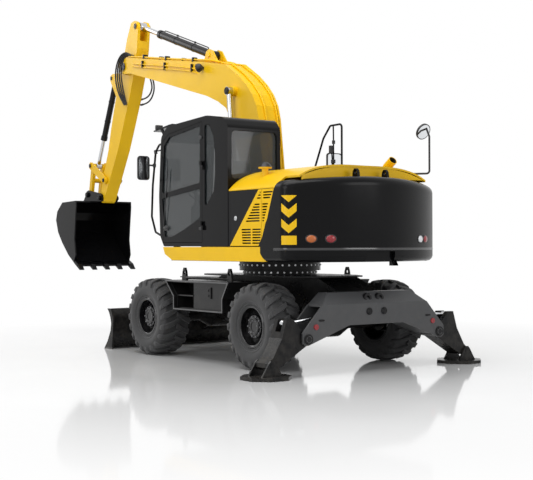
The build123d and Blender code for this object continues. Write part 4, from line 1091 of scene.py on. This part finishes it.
def make_floor():
    """Polished pale floor that turns to plain white from near to far from the machine."""
    half, near, far = 60, 2.8, 8.5
    data = bpy.data.meshes.new("floor")
    corners = [(-half, -half, 0), (half, -half, 0), (half, half, 0), (-half, half, 0)]
    data.from_pydata(corners, [], [(0, 1, 2, 3)])
    floor = bpy.data.objects.new("floor", data)
    bpy.context.scene.collection.objects.link(floor)
    f = Finish("floor_white")
    grime = f.ramp(f.noise(0.8, 4), 0.3, 0.7)
    f.set(Base_Color=f.mix(grime, (0.80, 0.80, 0.80), (0.84, 0.84, 0.84)), Roughness=0.07)
    distance = f.nodes.new("ShaderNodeVectorMath")
    distance.operation = "LENGTH"
    f.join(f.where, distance.inputs[0])
    whiter = f.ramp(distance.outputs["Value"], near, far)
    path = f.nodes.new("ShaderNodeLightPath")
    seen = f.math("MAXIMUM", path.outputs["Is Camera Ray"], path.outputs["Is Glossy Ray"])
    glow = f.nodes.new("ShaderNodeEmission")
    mixed = f.nodes.new("ShaderNodeMixShader")
    f.join(f.math("MULTIPLY", whiter, seen), mixed.inputs[0])
    f.join(f.shader.outputs[0], mixed.inputs[1])
    f.join(glow.outputs[0], mixed.inputs[2])
    f.join(mixed.outputs[0], f.output.inputs["Surface"])
    data.materials.append(f.material)


def make_lamps(power):
    """Square soft lamps round the machine, each turned towards its aim."""
    lamps = {
        # name: (place, aim, size, watts)
        "overhead": ((-3.0, 3.0, 11.0), (-0.5, 0, 1), 8.0, 760),
        "left_soft": ((-5.5, 12.0, 6.0), (0, 0, 1.5), 7.0, 420),
        "rear_soft": ((-13.0, -4.0, 5.5), (-1, 0, 1.5), 5.0, 260),
        "front_rim": ((10.0, 4.0, 8.0), (1, 0, 2), 5.0, 260),
    }
    for name, (spot, aim, size, watts) in lamps.items():
        light = bpy.data.lights.new(name, "AREA")
        light.size = size
        light.energy = watts * power
        lamp = bpy.data.objects.new(name, light)
        bpy.context.scene.collection.objects.link(lamp)
        lamp.location = spot
        lamp.rotation_euler = euler(toward(np.subtract(spot, aim)))


def make_camera():
    """Rear left view at the height of the tail's lamps."""
    lens = bpy.data.cameras.new("camera")
    lens.lens = 75.06
    lens.sensor_width = 36
    lens.clip_end = 300
    camera = bpy.data.objects.new("camera", lens)
    bpy.context.scene.collection.objects.link(camera)
    yaw, pitch, roll = (math.radians(a) for a in (35.871, 0.293, -0.150))
    level = math.cos(pitch)
    forward = np.array([math.cos(yaw) * level, -math.sin(yaw) * level, math.sin(pitch)])
    right = np.array([-math.sin(yaw), -math.cos(yaw), 0])
    up = np.cross(right, forward)
    right, up = right * math.cos(roll) + up * math.sin(roll), up * math.cos(roll) - right * math.sin(roll)
    camera.location = (SLEW_X - 12.325, 9.141, 1.552)
    camera.rotation_euler = euler(np.stack([right, up, -forward], 1))
    bpy.context.scene.camera = camera


# ---------------------------------------------------------------- what a user may change
def colour(name, description, default):
    """A colour that the panel shows."""
    return FloatVectorProperty(name=name, description=description, default=default, subtype="COLOR", size=3,
                               min=0.0, max=1.0)


def length(name, description, default, low, high):
    """A size in metres that the panel shows."""
    return FloatProperty(name=name, description=description, default=default, unit="LENGTH",
                         min=low, max=high)


def share(name, description, default, high):
    """A factor that the panel shows."""
    return FloatProperty(name=name, description=description, default=default, subtype="FACTOR",
                         min=0.0, max=high)


class ExcavatorColours(bpy.types.PropertyGroup):
    """Paints and tints"""
    yellow: colour("Body yellow", "Paint of the boom, arm, hood and skirts", (0.83, 0.50, 0.006))
    black: colour("Cab black", "Paint of the cab, frame and bucket", (0.004, 0.004, 0.0045))
    tail: colour("Tail black", "Paint of the cast tail", (0.003, 0.003, 0.0035))
    chassis: colour("Chassis grey", "Paint of the chassis, axles, legs and blade", (0.007, 0.007, 0.0075))
    beam: colour("Beam grey", "Paint of the rear beam", (0.066, 0.067, 0.07))
    tyre: colour("Tyre", "Rubber of the tyres", (0.030, 0.030, 0.031))
    glass: colour("Glass tint", "Tint of the cab's windows", (0.035, 0.042, 0.045))


class ExcavatorSizes(bpy.types.PropertyGroup):
    """Sizes of the finished pieces, and the strength of the light"""
    lug_height: length("Lug height", "Height of a tyre's lugs above its carcass", LUG_HEIGHT,
                       0.01, LUG_HEIGHT)
    bolt_radius: length("Bolt size", "Radius of the slew bearing's bolt heads", 0.0095, 0.006, 0.02)
    hose_radius: length("Hose radius", "Radius of a hydraulic hose", 0.013, 0.006, 0.018)
    chevron_width: length("Chevron width", "Width of the chevrons on the tail's corner", 0.190, 0.1, 0.22)
    mirror_rim: length("Mirror rim", "Frame left round each mirror's face", 0.014, 0.005, 0.03)
    seat_crown: length("Seat crown", "How far the cushions bulge in their middle", 0.022, 0.0, 0.03)
    lamp_power: share("Lamp power", "Share of the studio lamps' full power", 1.0, 3.0)
    ambient: share("Ambient light", "Strength of the soft light from all round", 0.5, 1.0)


class EXCAVATOR_OT_finishes(bpy.types.Operator):
    """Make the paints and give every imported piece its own"""
    bl_idname = "excavator.finishes"
    bl_label = "Finishes"

    def execute(self, context):
        make_finishes(context.scene.excavator_colours)
        return {"FINISHED"}


class EXCAVATOR_OT_stage(bpy.types.Operator):
    """Make the floor, the studio light and the camera"""
    bl_idname = "excavator.stage"
    bl_label = "Stage"

    def execute(self, context):
        sizes = context.scene.excavator_sizes
        context.scene.view_settings.view_transform = "Standard"
        make_world(sizes.ambient)
        make_floor()
        make_lamps(sizes.lamp_power)
        make_camera()
        return {"FINISHED"}


class EXCAVATOR_OT_wheels(bpy.types.Operator):
    """Make the treaded tyres, the rims and their nuts"""
    bl_idname = "excavator.wheels"
    bl_label = "Wheels"

    def execute(self, context):
        make_wheels(context.scene.excavator_sizes)
        return {"FINISHED"}


class EXCAVATOR_OT_undercarriage(bpy.types.Operator):
    """Make the slew bearing's bolts and the rear beam's fittings"""
    bl_idname = "excavator.undercarriage"
    bl_label = "Undercarriage"

    def execute(self, context):
        make_undercarriage(context.scene.excavator_sizes)
        return {"FINISHED"}


class EXCAVATOR_OT_tail(bpy.types.Operator):
    """Make the tail's chevrons, blank plate, lamps, lip and hitch block"""
    bl_idname = "excavator.tail"
    bl_label = "Tail"

    def execute(self, context):
        make_tail(context.scene.excavator_sizes)
        return {"FINISHED"}


class EXCAVATOR_OT_cab(bpy.types.Operator):
    """Make the door's handle, hinges and trim, and the cab's lamps, steering wheel and levers"""
    bl_idname = "excavator.cab"
    bl_label = "Cab fittings"

    def execute(self, context):
        make_cab_fittings()
        return {"FINISHED"}


class EXCAVATOR_OT_seat(bpy.types.Operator):
    """Make the driver's seat with its two cushions"""
    bl_idname = "excavator.seat"
    bl_label = "Seat"

    def execute(self, context):
        make_seat(context.scene.excavator_sizes)
        return {"FINISHED"}


class EXCAVATOR_OT_mirrors(bpy.types.Operator):
    """Make the mirrors' faces and the clamps on the rails"""
    bl_idname = "excavator.mirrors"
    bl_label = "Mirrors"

    def execute(self, context):
        make_mirrors(context.scene.excavator_sizes)
        return {"FINISHED"}


class EXCAVATOR_OT_trim(bpy.types.Operator):
    """Make the service doors' latches, the hood's end wall and the exhaust's lining"""
    bl_idname = "excavator.trim"
    bl_label = "Body trim"

    def execute(self, context):
        make_body_trim()
        return {"FINISHED"}


class EXCAVATOR_OT_pins(bpy.types.Operator):
    """Make the plates over the pins of boom, arm and bucket"""
    bl_idname = "excavator.pins"
    bl_label = "Pin plates"

    def execute(self, context):
        make_pins()
        return {"FINISHED"}


class EXCAVATOR_OT_hydraulics(bpy.types.Operator):
    """Make the hydraulic lines and hoses and the boom's lamp"""
    bl_idname = "excavator.hydraulics"
    bl_label = "Hydraulics"

    def execute(self, context):
        radius = context.scene.excavator_sizes.hose_radius
        make_cylinder_lines()
        make_foot_hoses(radius)
        make_steel_lines(radius)
        make_nose_hoses(radius)
        make_boom_lamp()
        return {"FINISHED"}


STEPS = (EXCAVATOR_OT_finishes, EXCAVATOR_OT_stage, EXCAVATOR_OT_wheels, EXCAVATOR_OT_undercarriage,
         EXCAVATOR_OT_tail, EXCAVATOR_OT_cab, EXCAVATOR_OT_seat, EXCAVATOR_OT_mirrors, EXCAVATOR_OT_trim,
         EXCAVATOR_OT_pins, EXCAVATOR_OT_hydraulics)


class EXCAVATOR_PT_panel(bpy.types.Panel):
    """Lists the sizes, the colours and the pieces"""
    bl_idname = "EXCAVATOR_PT_panel"
    bl_label = "Wheeled excavator"
    bl_space_type = "VIEW_3D"
    bl_region_type = "UI"
    bl_category = "Excavator"

    def draw(self, context):
        for group in (context.scene.excavator_sizes, context.scene.excavator_colours):
            column = self.layout.column(align=True)
            for key in type(group).__annotations__:
                column.prop(group, key)
        column = self.layout.column(align=True)
        for step in STEPS:
            column.operator(step.bl_idname)


CLASSES = (ExcavatorColours, ExcavatorSizes, *STEPS, EXCAVATOR_PT_panel)


def register():
    """Adds the classes and the two groups that the scene holds."""
    for item in CLASSES:
        bpy.utils.register_class(item)
    bpy.types.Scene.excavator_colours = PointerProperty(type=ExcavatorColours)
    bpy.types.Scene.excavator_sizes = PointerProperty(type=ExcavatorSizes)


def unregister():
    """Takes away what register added."""
    del bpy.types.Scene.excavator_sizes
    del bpy.types.Scene.excavator_colours
    for item in reversed(CLASSES):
        bpy.utils.unregister_class(item)


def main():
    """Runs every step in order."""
    register()
    for step in STEPS:
        getattr(bpy.ops.excavator, step.bl_idname.split(".")[1])()


if __name__ == "__main__":
    main()
